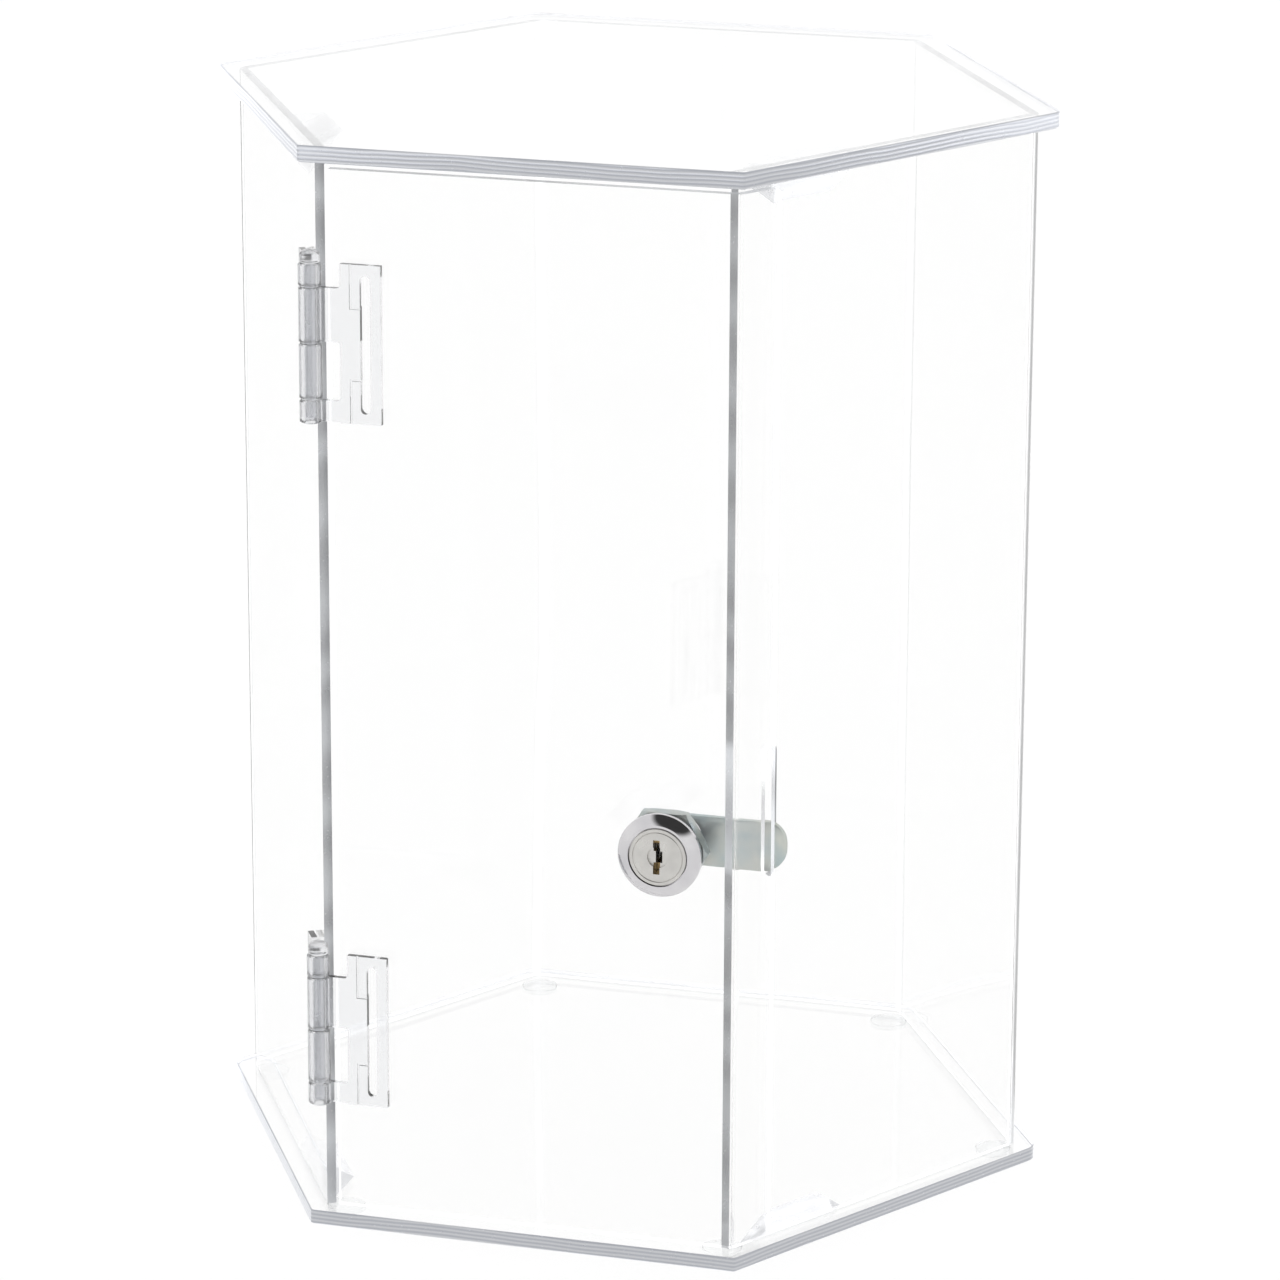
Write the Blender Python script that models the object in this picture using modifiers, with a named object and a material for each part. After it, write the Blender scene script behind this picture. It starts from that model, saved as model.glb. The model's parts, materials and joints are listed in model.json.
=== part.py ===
"""Hexagonal countertop display case in clear acrylic, with a hinged door and a cam lock.

World frame: metres, +Z up. The origin is the centre of the base plate's underside. The door faces -Y,
and two of the hexagon's corners lie on the X axis. The door is drawn closed and locked.
"""
import math

import bmesh
import bpy
from mathutils import Matrix, Vector

# Overall sizes
PLATE_RADIUS = 0.120
CASE_HEIGHT = 0.300
BASE_THICKNESS = 0.004
TOP_THICKNESS = 0.0045
PLATE_CORNER_RADIUS = 0.0055
DOOR_SIDE_CORNER_RADIUS = 0.0012
PLATE_EDGE_BEVEL = 0.0003
GAP = 0.0003

# Wall shell: one sheet bent four times, open on the door's side
WALL_THICKNESS = 0.0025
WALL_BEND_RADIUS = 0.004
PLATE_OVERHANG = 0.0051

# Door: a sheet bent once, lying on the wall ends, with a return flange around the lock side
DOOR_THICKNESS = 0.0025
DOOR_BEND_RADIUS = 0.003
DOOR_LAP_GAP = 0.0004
DOOR_END_GAP = 0.00175
DOOR_HINGE_SETBACK = 0.0045
FLANGE_CORNER_RADIUS = 0.0025
FLANGE_CAM_CLEARANCE = 0.0005

# Fillet bars of triangular section, glued in the corners between the plates and the two free wall ends
FILLET_LENGTH = 0.0405
FILLET_DEPTH = 0.0085
FILLET_HEIGHT = 0.0063
FILLET_SETBACK = 0.004
FILLET_END_LEAN = 0.0092

# Hinges
HINGE_HEIGHT = 0.0427
HINGE_LEAF_WIDTH = 0.0191
HINGE_LEAF_THICKNESS = 0.0016
HINGE_AXIS_OFFSET = 0.0023
HINGE_FROM_BASE = 0.036
HINGE_FROM_TOP = 0.0308
BARREL_RADIUS = 0.0031
TAB_INSET = 0.0002
LEAF_NOTCH_REACH = 0.0079
LEAF_CORNER_RADIUS = 0.0008
PIN_RADIUS = 0.0014
PIN_CLEARANCE = 0.0003
PIN_HEAD_RADIUS = 0.0027
PIN_HEAD_HEIGHT = 0.0034
PIN_HEAD_DOME = 0.0016
PIN_END = 0.0015
END_KNUCKLE = 0.0061
LEAF_SLOT_WIDTH = 0.0027
LEAF_SLOT_MARGIN = 0.0028
LEAF_SLOT_INSET = 0.0029
LEAF_GROOVE_WIDTH = 0.0005
LEAF_GROOVE_DEPTH = 0.0005
LEAF_GROOVE_FROM_AXIS = 0.0108
LEAF_GROOVE_RUN = 0.012

# Cam lock, placed from the door's bend and from the base
LOCK_FROM_BEND = 0.0204
LOCK_HEIGHT = 0.1155
BEZEL_RADIUS = 0.0114
BEZEL_RIM = 0.0014
BEZEL_HEIGHT = 0.0032
BEZEL_FACE_RADIUS = 0.00875
HOUSING_RADIUS = 0.0085
HOUSING_LENGTH = 0.0131
HOUSING_FLATS = 0.0150
THREAD_PITCH = 0.00125
THREAD_DEPTH = 0.0004
PLUG_RADIUS = 0.0060
PLUG_HEAD_RADIUS = 0.00785
PLUG_HEAD_THICKNESS = 0.0011
PLUG_RECESS_RADIUS = 0.00285
PLUG_RECESS_DEPTH = 0.0006
KEYWAY_WIDTH = 0.0024
KEYWAY_STEP = 0.0006
KEYWAY_HEIGHT = 0.0094
KEYWAY_DEPTH = 0.0122
WAFER_COUNT = 5
WAFER_PITCH = 0.0019
WAFER_THICKNESS = 0.0006
WAFER_WIDTH = 0.0068
WAFER_HEIGHT = 0.0104
WAFER_WINDOW_WIDTH = 0.0030
WAFER_WINDOW_HEIGHT = 0.0054
FIRST_WAFER_DEPTH = 0.0040
TAIL_SIZE = 0.0070
NUT_ACROSS_FLATS = 0.021
NUT_THICKNESS = 0.004
STOP_WASHER_THICKNESS = 0.0008
STOP_WASHER_RADIUS = 0.0075
CAM_THICKNESS = 0.002
CAM_WIDTH = 0.0138
CAM_PROTRUSION = 0.0045
CAM_TIP_RADIUS = 0.006
SCREW_RADIUS = 0.0019
SCREW_LENGTH = 0.0062
SCREW_HEAD_RADIUS = 0.0042
SCREW_HEAD_HEIGHT = 0.0024
SCREW_HEAD_CROWN = 0.001
SCREW_HEAD_TOP_RADIUS = 0.0029
CROSS_RECESS_REACH = 0.0025
CROSS_RECESS_WIDTH = 0.001
CROSS_RECESS_DEPTH = 0.0011
SCREW_WASHER_RADIUS = 0.0058
SCREW_WASHER_THICKNESS = 0.0008

# Slot in the wall that the cam turns into
SLOT_SIDE_CLEARANCE = 0.00087
SLOT_BELOW_CAM = 0.0012
SLOT_HEIGHT = 0.0367

# Feet
FOOT_RADIUS = 0.0055
FOOT_THICKNESS = 0.0016
FOOT_FROM_CORNER = 0.013
FOOT_TAPER = 0.0004

ARC_STEPS = 8
ROUND_STEPS = 48
SMALL_ROUND_STEPS = 24

# Values that follow from the sizes above
COS30 = math.cos(math.radians(30))
SIN30 = 0.5
PLATE_APOTHEM = PLATE_RADIUS * COS30
WALL_OUTER = PLATE_APOTHEM - PLATE_OVERHANG
WALL_INNER = WALL_OUTER - WALL_THICKNESS
DOOR_INNER = WALL_OUTER + DOOR_LAP_GAP
DOOR_OUTER = DOOR_INNER + DOOR_THICKNESS
TOP_UNDERSIDE = CASE_HEIGHT - TOP_THICKNESS
LOCK_X = DOOR_OUTER / COS30 * SIN30 - LOCK_FROM_BEND
HOUSING_REAR = GAP - HOUSING_LENGTH
STOP_WASHER_REAR = HOUSING_REAR - GAP - STOP_WASHER_THICKNESS
CAM_FRONT = STOP_WASHER_REAR - GAP
CAM_REAR = CAM_FRONT - CAM_THICKNESS
CAM_Y = -DOOR_OUTER - (CAM_FRONT + CAM_REAR) / 2

# The corners of the hexagon, as angles around +Z
LEFT, FRONT_LEFT, FRONT_RIGHT, RIGHT, BACK_RIGHT, BACK_LEFT = 180, 240, 300, 360, 420, 480

# Unit vectors of the wall on the lock side: along it away from the door, and out of it
LOCK_WALL_ALONG = Vector((SIN30, COS30, 0))
LOCK_WALL_OUT = Vector((COS30, -SIN30, 0))
# The same for the wall on the hinge side
HINGE_WALL_ALONG = Vector((-SIN30, COS30, 0))
HINGE_WALL_OUT = Vector((-COS30, -SIN30, 0))
UP = Vector((0, 0, 1))


def new_collection(name):
    collection = bpy.data.collections.new(name)
    bpy.context.scene.collection.children.link(collection)
    return collection


def material(name, color, roughness, metallic=0.0, alpha=1.0):
    """A Principled material for one sub-part."""
    made = bpy.data.materials.new(name)
    made.use_nodes = True
    shader = made.node_tree.nodes["Principled BSDF"]
    shader.inputs["Base Color"].default_value = (*color, 1)
    shader.inputs["Roughness"].default_value = roughness
    shader.inputs["Metallic"].default_value = metallic
    shader.inputs["Alpha"].default_value = alpha
    return made


def clear_acrylic(name):
    return material(name, (0.93, 0.95, 0.95), 0.04, alpha=0.35)


def bright_metal(name):
    return material(name, (0.78, 0.78, 0.77), 0.12, metallic=1.0)


def zinc(name):
    return material(name, (0.62, 0.67, 0.68), 0.3, metallic=1.0)


def frame_at(origin, x_axis, y_axis):
    """A right-handed local frame from its origin and its first two axes."""
    z_axis = x_axis.cross(y_axis)
    placed = Matrix((x_axis, y_axis, z_axis)).transposed().to_4x4()
    placed.translation = origin
    return placed


def arc(center, radius, start, end, steps):
    """Points along an arc, with its angles in degrees."""
    points = []
    for step in range(steps + 1):
        angle = math.radians(start + (end - start) * step / steps)
        points.append((center[0] + radius * math.cos(angle), center[1] + radius * math.sin(angle)))
    return points


def circle(radius, steps=ROUND_STEPS, center=(0, 0)):
    return arc(center, radius, 0, 360, steps)[:-1]


def rectangle(x0, x1, y0, y1):
    return [(x0, y0), (x1, y0), (x1, y1), (x0, y1)]


def polar(radius, angle):
    return Vector((radius * math.cos(math.radians(angle)), radius * math.sin(math.radians(angle))))


def rounded_path(corners, radii):
    """A polyline whose corners are rounded, where a radius of 0 keeps a corner sharp."""
    points = []
    count = len(corners)
    for index, radius in enumerate(radii):
        corner = Vector(corners[index])
        if radius == 0:
            points.append(tuple(corner))
            continue
        back = (Vector(corners[index - 1]) - corner).normalized()
        ahead = (Vector(corners[(index + 1) % count]) - corner).normalized()
        half = back.angle(ahead) / 2
        center = corner + (back + ahead).normalized() * radius / math.sin(half)
        start = corner + back * radius / math.tan(half) - center
        turn = math.pi - 2 * half
        if back.cross(ahead) > 0:
            turn = -turn
        for step in range(ARC_STEPS + 1):
            offset = start.copy()
            offset.rotate(Matrix.Rotation(turn * step / ARC_STEPS, 2))
            points.append(tuple(center + offset))
    return points


def flat_solid(name, outlines, depth, place, collection):
    """Closed outlines in local XY, filled, and extruded from local z = 0 to depth."""
    curve = bpy.data.curves.new(name + "_outline", "CURVE")
    curve.dimensions = "2D"
    curve.fill_mode = "BOTH"
    curve.extrude = depth / 2
    for outline in outlines:
        spline = curve.splines.new("POLY")
        spline.points.add(len(outline) - 1)
        spline.use_cyclic_u = True
        for point, (x, y) in zip(spline.points, outline):
            point.co = (x, y, 0, 1)
    guide = bpy.data.objects.new(name + "_outline", curve)
    collection.objects.link(guide)
    guide.matrix_world = place @ Matrix.Translation((0, 0, depth / 2))
    bpy.context.view_layer.update()
    evaluated = guide.evaluated_get(bpy.context.evaluated_depsgraph_get())
    mesh = bpy.data.meshes.new_from_object(evaluated)
    mesh.name = name
    solid = bpy.data.objects.new(name, mesh)
    solid.matrix_world = guide.matrix_world
    collection.objects.link(solid)
    bpy.data.objects.remove(guide)
    welded = bmesh.new()
    welded.from_mesh(mesh)
    bmesh.ops.remove_doubles(welded, verts=welded.verts, dist=0.000001)
    bmesh.ops.recalc_face_normals(welded, faces=welded.faces)
    welded.to_mesh(mesh)
    welded.free()
    return solid


def turned_solid(name, profile, place, collection, steps=ROUND_STEPS):
    """A profile of (radius, height) points, top to bottom down its outer side, turned around local Z."""
    mesh = bpy.data.meshes.new(name)
    points = [(radius, 0, height) for radius, height in profile]
    edges = [(index, index + 1) for index in range(len(points) - 1)]
    if profile[0][0] > 0:
        edges.append((len(points) - 1, 0))
    mesh.from_pydata(points, edges, [])
    solid = bpy.data.objects.new(name, mesh)
    solid.matrix_world = place
    collection.objects.link(solid)
    screw = solid.modifiers.new("turn", "SCREW")
    screw.steps = steps
    screw.render_steps = steps
    screw.use_merge_vertices = True
    screw.merge_threshold = 0.00001
    screw.use_smooth_shade = False
    return solid


def bent_sheet(name, path, bottom, top, thickness, place, collection):
    """A path in local XY, drawn up into a surface, and thickened to the left of the path."""
    mesh = bpy.data.meshes.new(name)
    count = len(path)
    points = [(x, y, bottom) for x, y in path] + [(x, y, top) for x, y in path]
    faces = [(index, index + 1, count + index + 1, count + index) for index in range(count - 1)]
    mesh.from_pydata(points, [], faces)
    sheet = bpy.data.objects.new(name, mesh)
    sheet.matrix_world = place
    collection.objects.link(sheet)
    solidify = sheet.modifiers.new("thickness", "SOLIDIFY")
    solidify.thickness = thickness
    solidify.offset = -1
    solidify.use_even_offset = True
    return sheet


def boolean(solid, other, operation):
    """A Boolean of a solid with another, which becomes a hidden wire cutter."""
    modifier = solid.modifiers.new(operation.lower() + "_" + other.name, "BOOLEAN")
    modifier.operation = operation
    modifier.solver = "EXACT"
    modifier.object = other
    other.hide_render = True
    other.display_type = "WIRE"


def cut(solid, *cutters):
    for cutter in cutters:
        boolean(solid, cutter, "DIFFERENCE")


def join(solid, *others):
    for other in others:
        boolean(solid, other, "UNION")


def hang(solids, empty):
    """Parent solids to an empty without moving them."""
    bpy.context.view_layer.update()
    for solid in solids:
        placed = solid.matrix_world.copy()
        solid.parent = empty
        solid.matrix_parent_inverse = empty.matrix_world.inverted()
        solid.matrix_world = placed


def joint_empty(name, place):
    """An empty on a joint's axis, whose local Z is that axis."""
    empty = bpy.data.objects.new(name, None)
    empty.empty_display_size = 0.02
    empty.matrix_world = place
    case.objects.link(empty)
    return empty


def make_plate(name, bottom, thickness):
    """A hexagonal plate. Its two corners beside the door are nearly sharp, and the others are rounded."""
    angles = (LEFT, FRONT_LEFT, FRONT_RIGHT, RIGHT, BACK_RIGHT, BACK_LEFT)
    radii = [PLATE_CORNER_RADIUS] * 6
    radii[1] = radii[2] = DOOR_SIDE_CORNER_RADIUS
    outline = rounded_path([polar(PLATE_RADIUS, angle) for angle in angles], radii)
    plate = flat_solid(name, [outline], thickness, Matrix.Translation((0, 0, bottom)), case)
    bevel = plate.modifiers.new("eased_edges", "BEVEL")
    bevel.width = PLATE_EDGE_BEVEL
    bevel.segments = 1
    bevel.limit_method = "ANGLE"
    bevel.angle_limit = math.radians(60)
    plate.data.materials.append(clear_acrylic(name))
    return plate


def make_wall_shell():
    """Five walls from one sheet, with a slot beside the door for the lock's cam."""
    angles = (FRONT_LEFT, LEFT, BACK_LEFT, BACK_RIGHT, RIGHT, FRONT_RIGHT)
    radii = (0, WALL_BEND_RADIUS, WALL_BEND_RADIUS, WALL_BEND_RADIUS, WALL_BEND_RADIUS, 0)
    corners = [polar(WALL_OUTER / COS30, angle) for angle in angles]
    path = rounded_path(corners, radii)[::-1]
    shell = bent_sheet("wall_shell", path, BASE_THICKNESS + GAP, TOP_UNDERSIDE - GAP, WALL_THICKNESS,
                       Matrix.Identity(4), case)
    # The cam is parallel to the door and the wall isn't, so the cam's width across the wall is a little
    # more than its thickness.
    crossing = (CAM_THICKNESS + SIN30 * WALL_THICKNESS) / COS30
    width = crossing + 2 * SLOT_SIDE_CLEARANCE
    along = (CAM_Y + SIN30 * (WALL_OUTER - WALL_THICKNESS / 2)) / COS30
    bottom = LOCK_HEIGHT - CAM_WIDTH / 2 - SLOT_BELOW_CAM
    ends = (bottom + width / 2, bottom + SLOT_HEIGHT - width / 2)
    outline = arc((along, ends[1]), width / 2, 0, 180, ARC_STEPS)
    outline += arc((along, ends[0]), width / 2, 180, 360, ARC_STEPS)
    place = frame_at(LOCK_WALL_OUT * (WALL_INNER - WALL_THICKNESS), LOCK_WALL_ALONG, UP)
    cut(shell, flat_solid("cam_slot_cutter", [outline], 3 * WALL_THICKNESS, place, cutters))
    shell.data.materials.append(clear_acrylic("wall_shell"))
    return shell


def corner_cutter(name, place, radius, depth):
    """What rounding takes off a square corner at the local origin, whose edges run along -X and -Y."""
    spare = radius / 4
    outline = arc((-radius, -radius), radius, 0, 90, ARC_STEPS)
    outline += [(-radius, spare), (spare, spare), (spare, -radius)]
    return flat_solid(name, [outline], depth, place, cutters)


def make_door(lock_place):
    """The door sheet, with its return flange, its rounded flange corners and the lock's double-D hole."""
    cam_edge = (CAM_Y - CAM_THICKNESS / 2 + SIN30 * DOOR_INNER) / COS30
    flange_edge = cam_edge - FLANGE_CAM_CLEARANCE
    hinge_edge = -(WALL_OUTER / COS30 * SIN30 - DOOR_HINGE_SETBACK)
    corners = [
        Vector((hinge_edge, -DOOR_OUTER)),
        polar(DOOR_OUTER / COS30, FRONT_RIGHT),
        (LOCK_WALL_OUT * DOOR_OUTER + LOCK_WALL_ALONG * flange_edge).xy,
    ]
    path = rounded_path(corners, (0, DOOR_BEND_RADIUS, 0))
    bottom = BASE_THICKNESS + DOOR_END_GAP
    top = TOP_UNDERSIDE - DOOR_END_GAP
    panel = bent_sheet("door_panel", path, bottom, top, DOOR_THICKNESS, Matrix.Identity(4), case)
    start = LOCK_WALL_OUT * (DOOR_INNER - DOOR_THICKNESS) + LOCK_WALL_ALONG * flange_edge
    depth = 3 * DOOR_THICKNESS
    upper = frame_at(start + UP * top, LOCK_WALL_ALONG, UP)
    lower = frame_at(start + UP * bottom + LOCK_WALL_OUT * depth, LOCK_WALL_ALONG, -UP)
    cut(panel,
        corner_cutter("flange_upper_corner_cutter", upper, FLANGE_CORNER_RADIUS, depth),
        corner_cutter("flange_lower_corner_cutter", lower, FLANGE_CORNER_RADIUS, depth))
    hole = double_d(HOUSING_RADIUS + GAP, HOUSING_FLATS / 2 + GAP)
    behind = lock_place @ Matrix.Translation((0, 0, -2 * DOOR_THICKNESS))
    cut(panel, flat_solid("lock_hole_cutter", [hole], depth, behind, cutters))
    panel.data.materials.append(clear_acrylic("door_panel"))
    return panel


def double_d(radius, half_flats):
    """A circle with two parallel flats, at local x = +half_flats and -half_flats."""
    reach = math.degrees(math.acos(half_flats / radius))
    outline = arc((0, 0), radius, reach, 180 - reach, ARC_STEPS * 2)
    outline += arc((0, 0), radius, 180 + reach, 360 - reach, ARC_STEPS * 2)
    return outline


def make_fillet_bar(name, plate_level, height, across):
    """A bar of right-angled triangular section: one leg on a plate and one on a wall, with leaning ends.

    It is a loft between two unlike triangles, so it is made as the hull of their corners.
    """
    back = WALL_INNER - GAP
    front = back - FILLET_DEPTH
    near = -WALL_OUTER / COS30 * SIN30 + FILLET_SETBACK
    far = near + FILLET_LENGTH
    # The end beside the door is cut parallel to Y, which is 30 degrees off the wall's own direction.
    slant = FILLET_DEPTH * COS30 / SIN30
    edge_level = plate_level + height
    corners = [(near, back, plate_level), (near + slant, front, plate_level), (far, front, plate_level),
               (far, back, plate_level), (near + FILLET_END_LEAN, back, edge_level),
               (far - FILLET_END_LEAN, back, edge_level)]
    bar = bmesh.new()
    for along, out, level in corners:
        point = LOCK_WALL_OUT * out + LOCK_WALL_ALONG * along + UP * level
        bar.verts.new((point.x * across, point.y, point.z))
    bmesh.ops.convex_hull(bar, input=bar.verts)
    bmesh.ops.recalc_face_normals(bar, faces=bar.faces)
    mesh = bpy.data.meshes.new(name)
    bar.to_mesh(mesh)
    bar.free()
    solid = bpy.data.objects.new(name, mesh)
    case.objects.link(solid)
    solid.data.materials.append(clear_acrylic(name))


def make_fillet_bars():
    """Four bars: on the base and under the top plate, at the lock side and, mirrored, at the hinge side."""
    for side, across in (("lock_side", 1), ("hinge_side", -1)):
        make_fillet_bar(f"lower_fillet_bar_{side}", BASE_THICKNESS + GAP, FILLET_HEIGHT, across)
        make_fillet_bar(f"upper_fillet_bar_{side}", TOP_UNDERSIDE - GAP, -FILLET_HEIGHT, across)


def hinge_axis():
    """Where the hinge pins stand: the same offset out of the door leaf and out of the wall leaf."""
    out_of_door = DOOR_OUTER + GAP + HINGE_AXIS_OFFSET
    out_of_wall = WALL_OUTER + GAP + HINGE_AXIS_OFFSET
    return Vector((-(out_of_wall - SIN30 * out_of_door) / COS30, -out_of_door, 0))


def knuckle_spans():
    """The heights of the four knuckles from the bottom of a hinge, with a gap between each pair."""
    middle = (HINGE_HEIGHT - 2 * END_KNUCKLE - 3 * GAP) / 2
    spans = []
    start = 0
    for length in (END_KNUCKLE, middle, middle, END_KNUCKLE):
        spans.append((start, start + length))
        start += length + GAP
    return spans


def make_leaf(name, along, bottom, own_knuckles, mirrored):
    """One hinge leaf: a plate with two knuckles, a long slot, and a groove in from each end."""
    spans = knuckle_spans()
    width = HINGE_LEAF_WIDTH
    # The outline starts at the free edge. A tab reaches from the leaf into each of its own knuckles, and
    # beside the other leaf's knuckles it has notches with rounded corners.
    corners = [(width, 0), (width, HINGE_HEIGHT), (LEAF_NOTCH_REACH, HINGE_HEIGHT)]
    radii = [0, 0, 0]
    for index in own_knuckles:
        high = spans[index][1] - TAB_INSET
        low = spans[index][0] + TAB_INSET
        corners += [(LEAF_NOTCH_REACH, high), (0, high), (0, low), (LEAF_NOTCH_REACH, low)]
        radii += [LEAF_CORNER_RADIUS if index < 3 else 0, 0, 0, LEAF_CORNER_RADIUS if index > 0 else 0]
    corners.append((LEAF_NOTCH_REACH, 0))
    radii.append(0)
    outline = rounded_path(corners, radii)
    slot_x = width - LEAF_SLOT_INSET - LEAF_SLOT_WIDTH / 2
    slot_end = LEAF_SLOT_MARGIN + LEAF_SLOT_WIDTH / 2
    slot = arc((slot_x, HINGE_HEIGHT - slot_end), LEAF_SLOT_WIDTH / 2, 0, 180, ARC_STEPS)
    slot += arc((slot_x, slot_end), LEAF_SLOT_WIDTH / 2, 180, 360, ARC_STEPS)
    origin = hinge_axis() + UP * bottom
    inner = -HINGE_AXIS_OFFSET
    outer = inner + HINGE_LEAF_THICKNESS
    # Local z points out of the case on the door's leaf and into it on the wall's leaf.
    start = -outer if mirrored else inner
    place = frame_at(origin, along, UP)
    seat = place @ Matrix.Translation((0, 0, start))
    leaf = flat_solid(name, [outline, slot], HINGE_LEAF_THICKNESS, seat, case)
    for index in own_knuckles:
        low, high = spans[index]
        join(leaf, flat_solid(f"{name}_knuckle_{index}", [circle(BARREL_RADIUS, SMALL_ROUND_STEPS)],
                              high - low, Matrix.Translation(origin + UP * low), cutters))
    bore = circle(PIN_RADIUS + PIN_CLEARANCE, SMALL_ROUND_STEPS)
    cut(leaf, flat_solid(f"{name}_bore_cutter", [bore], HINGE_HEIGHT + 2 * BARREL_RADIUS,
                         Matrix.Translation(origin - UP * BARREL_RADIUS), cutters))
    # Two L-shaped grooves in the outer face run in from the top and bottom edges and turn into the slot.
    half = LEAF_GROOVE_WIDTH / 2
    near = LEAF_GROOVE_FROM_AXIS - half
    far = LEAF_GROOVE_FROM_AXIS + half
    foot = HINGE_HEIGHT - LEAF_GROOVE_RUN
    upper = [(near, HINGE_HEIGHT + half), (near, foot), (slot_x, foot), (slot_x, foot + LEAF_GROOVE_WIDTH),
             (far, foot + LEAF_GROOVE_WIDTH), (far, HINGE_HEIGHT + half)]
    lower = [(x, HINGE_HEIGHT - z) for x, z in upper]
    face = -outer if mirrored else outer
    low_z = face - LEAF_GROOVE_DEPTH
    for end, groove in (("upper", upper), ("lower", lower)):
        cutter = flat_solid(f"{name}_{end}_groove_cutter", [groove], 2 * LEAF_GROOVE_DEPTH,
                            place @ Matrix.Translation((0, 0, low_z)), cutters)
        cut(leaf, cutter)
    leaf.data.materials.append(clear_acrylic(name))
    return leaf


def make_pin(name, bottom):
    """A clear pin through the barrel, with a domed head on top."""
    head = HINGE_HEIGHT + GAP
    side = head + PIN_HEAD_HEIGHT - PIN_HEAD_DOME
    profile = [(0, head + PIN_HEAD_HEIGHT)]
    for step in range(1, ARC_STEPS + 1):
        angle = math.radians(90 * step / ARC_STEPS)
        profile.append((PIN_HEAD_RADIUS * math.sin(angle), side + PIN_HEAD_DOME * math.cos(angle)))
    profile += [(PIN_HEAD_RADIUS, head), (PIN_RADIUS, head), (PIN_RADIUS, PIN_END), (0, PIN_END)]
    place = Matrix.Translation(hinge_axis() + UP * bottom)
    pin = turned_solid(name, profile, place, case, SMALL_ROUND_STEPS)
    pin.data.materials.append(clear_acrylic(name))
    return pin


def make_hinges():
    """Two hinges. Each has a leaf on the wall, a leaf on the door, and a pin that stays with the wall."""
    door_leaves = []
    bottoms = {"lower": HINGE_FROM_BASE, "upper": CASE_HEIGHT - HINGE_FROM_TOP - HINGE_HEIGHT}
    for level, bottom in bottoms.items():
        make_leaf(f"{level}_hinge_wall_leaf", HINGE_WALL_ALONG, bottom, (3, 1), mirrored=True)
        across = Vector((1, 0, 0))
        door_leaves.append(make_leaf(f"{level}_hinge_door_leaf", across, bottom, (2, 0), mirrored=False))
        make_pin(f"{level}_hinge_pin", bottom)
    return door_leaves


def thread_profile(radius, top, bottom):
    """Ridges and roots of a thread as plain rings, down from top to bottom."""
    points = []
    turns = int((top - bottom) / THREAD_PITCH)
    pitch = (top - bottom) / turns
    for turn in range(turns):
        height = top - turn * pitch
        points += [(radius - THREAD_DEPTH, height), (radius, height - pitch / 2)]
    points.append((radius - THREAD_DEPTH, bottom))
    return points


def make_housing(place):
    """The lock's body: a bevelled bezel on the door's face, and a threaded barrel with two flats."""
    face = GAP + BEZEL_HEIGHT
    seat = face - PLUG_HEAD_THICKNESS - GAP
    bore = PLUG_RADIUS + GAP
    profile = [(BEZEL_FACE_RADIUS, face), (BEZEL_RADIUS, GAP + BEZEL_RIM), (BEZEL_RADIUS, GAP)]
    profile += thread_profile(HOUSING_RADIUS, GAP, HOUSING_REAR)
    profile += [(bore, HOUSING_REAR), (bore, seat), (PLUG_HEAD_RADIUS + GAP / 2, seat),
                (PLUG_HEAD_RADIUS + GAP / 2, face)]
    housing = turned_solid("lock_housing", profile, place, case)
    for side, start in (("left", -2 * HOUSING_RADIUS), ("right", HOUSING_FLATS / 2)):
        end = start + 2 * HOUSING_RADIUS - HOUSING_FLATS / 2
        outline = rectangle(start, end, -HOUSING_RADIUS, HOUSING_RADIUS)
        flat = flat_solid(f"housing_{side}_flat_cutter", [outline], HOUSING_LENGTH,
                          place @ Matrix.Translation((0, 0, -HOUSING_LENGTH)), cutters)
        cut(housing, flat)
    housing.data.materials.append(bright_metal("lock_housing"))
    return housing


def make_nut(place):
    """The hexagon nut that clamps the housing to the door, with flats at its top and bottom."""
    corner = NUT_ACROSS_FLATS / 2 / COS30
    outline = [tuple(polar(corner, angle)) for angle in range(0, 360, 60)]
    rear = -DOOR_THICKNESS - GAP - NUT_THICKNESS
    nut = flat_solid("lock_nut", [outline, circle(HOUSING_RADIUS + GAP)], NUT_THICKNESS,
                     place @ Matrix.Translation((0, 0, rear)), case)
    nut.data.materials.append(zinc("lock_nut"))
    return nut


def wafer_levels(face):
    return [face - FIRST_WAFER_DEPTH - index * WAFER_PITCH for index in range(WAFER_COUNT)]


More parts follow.
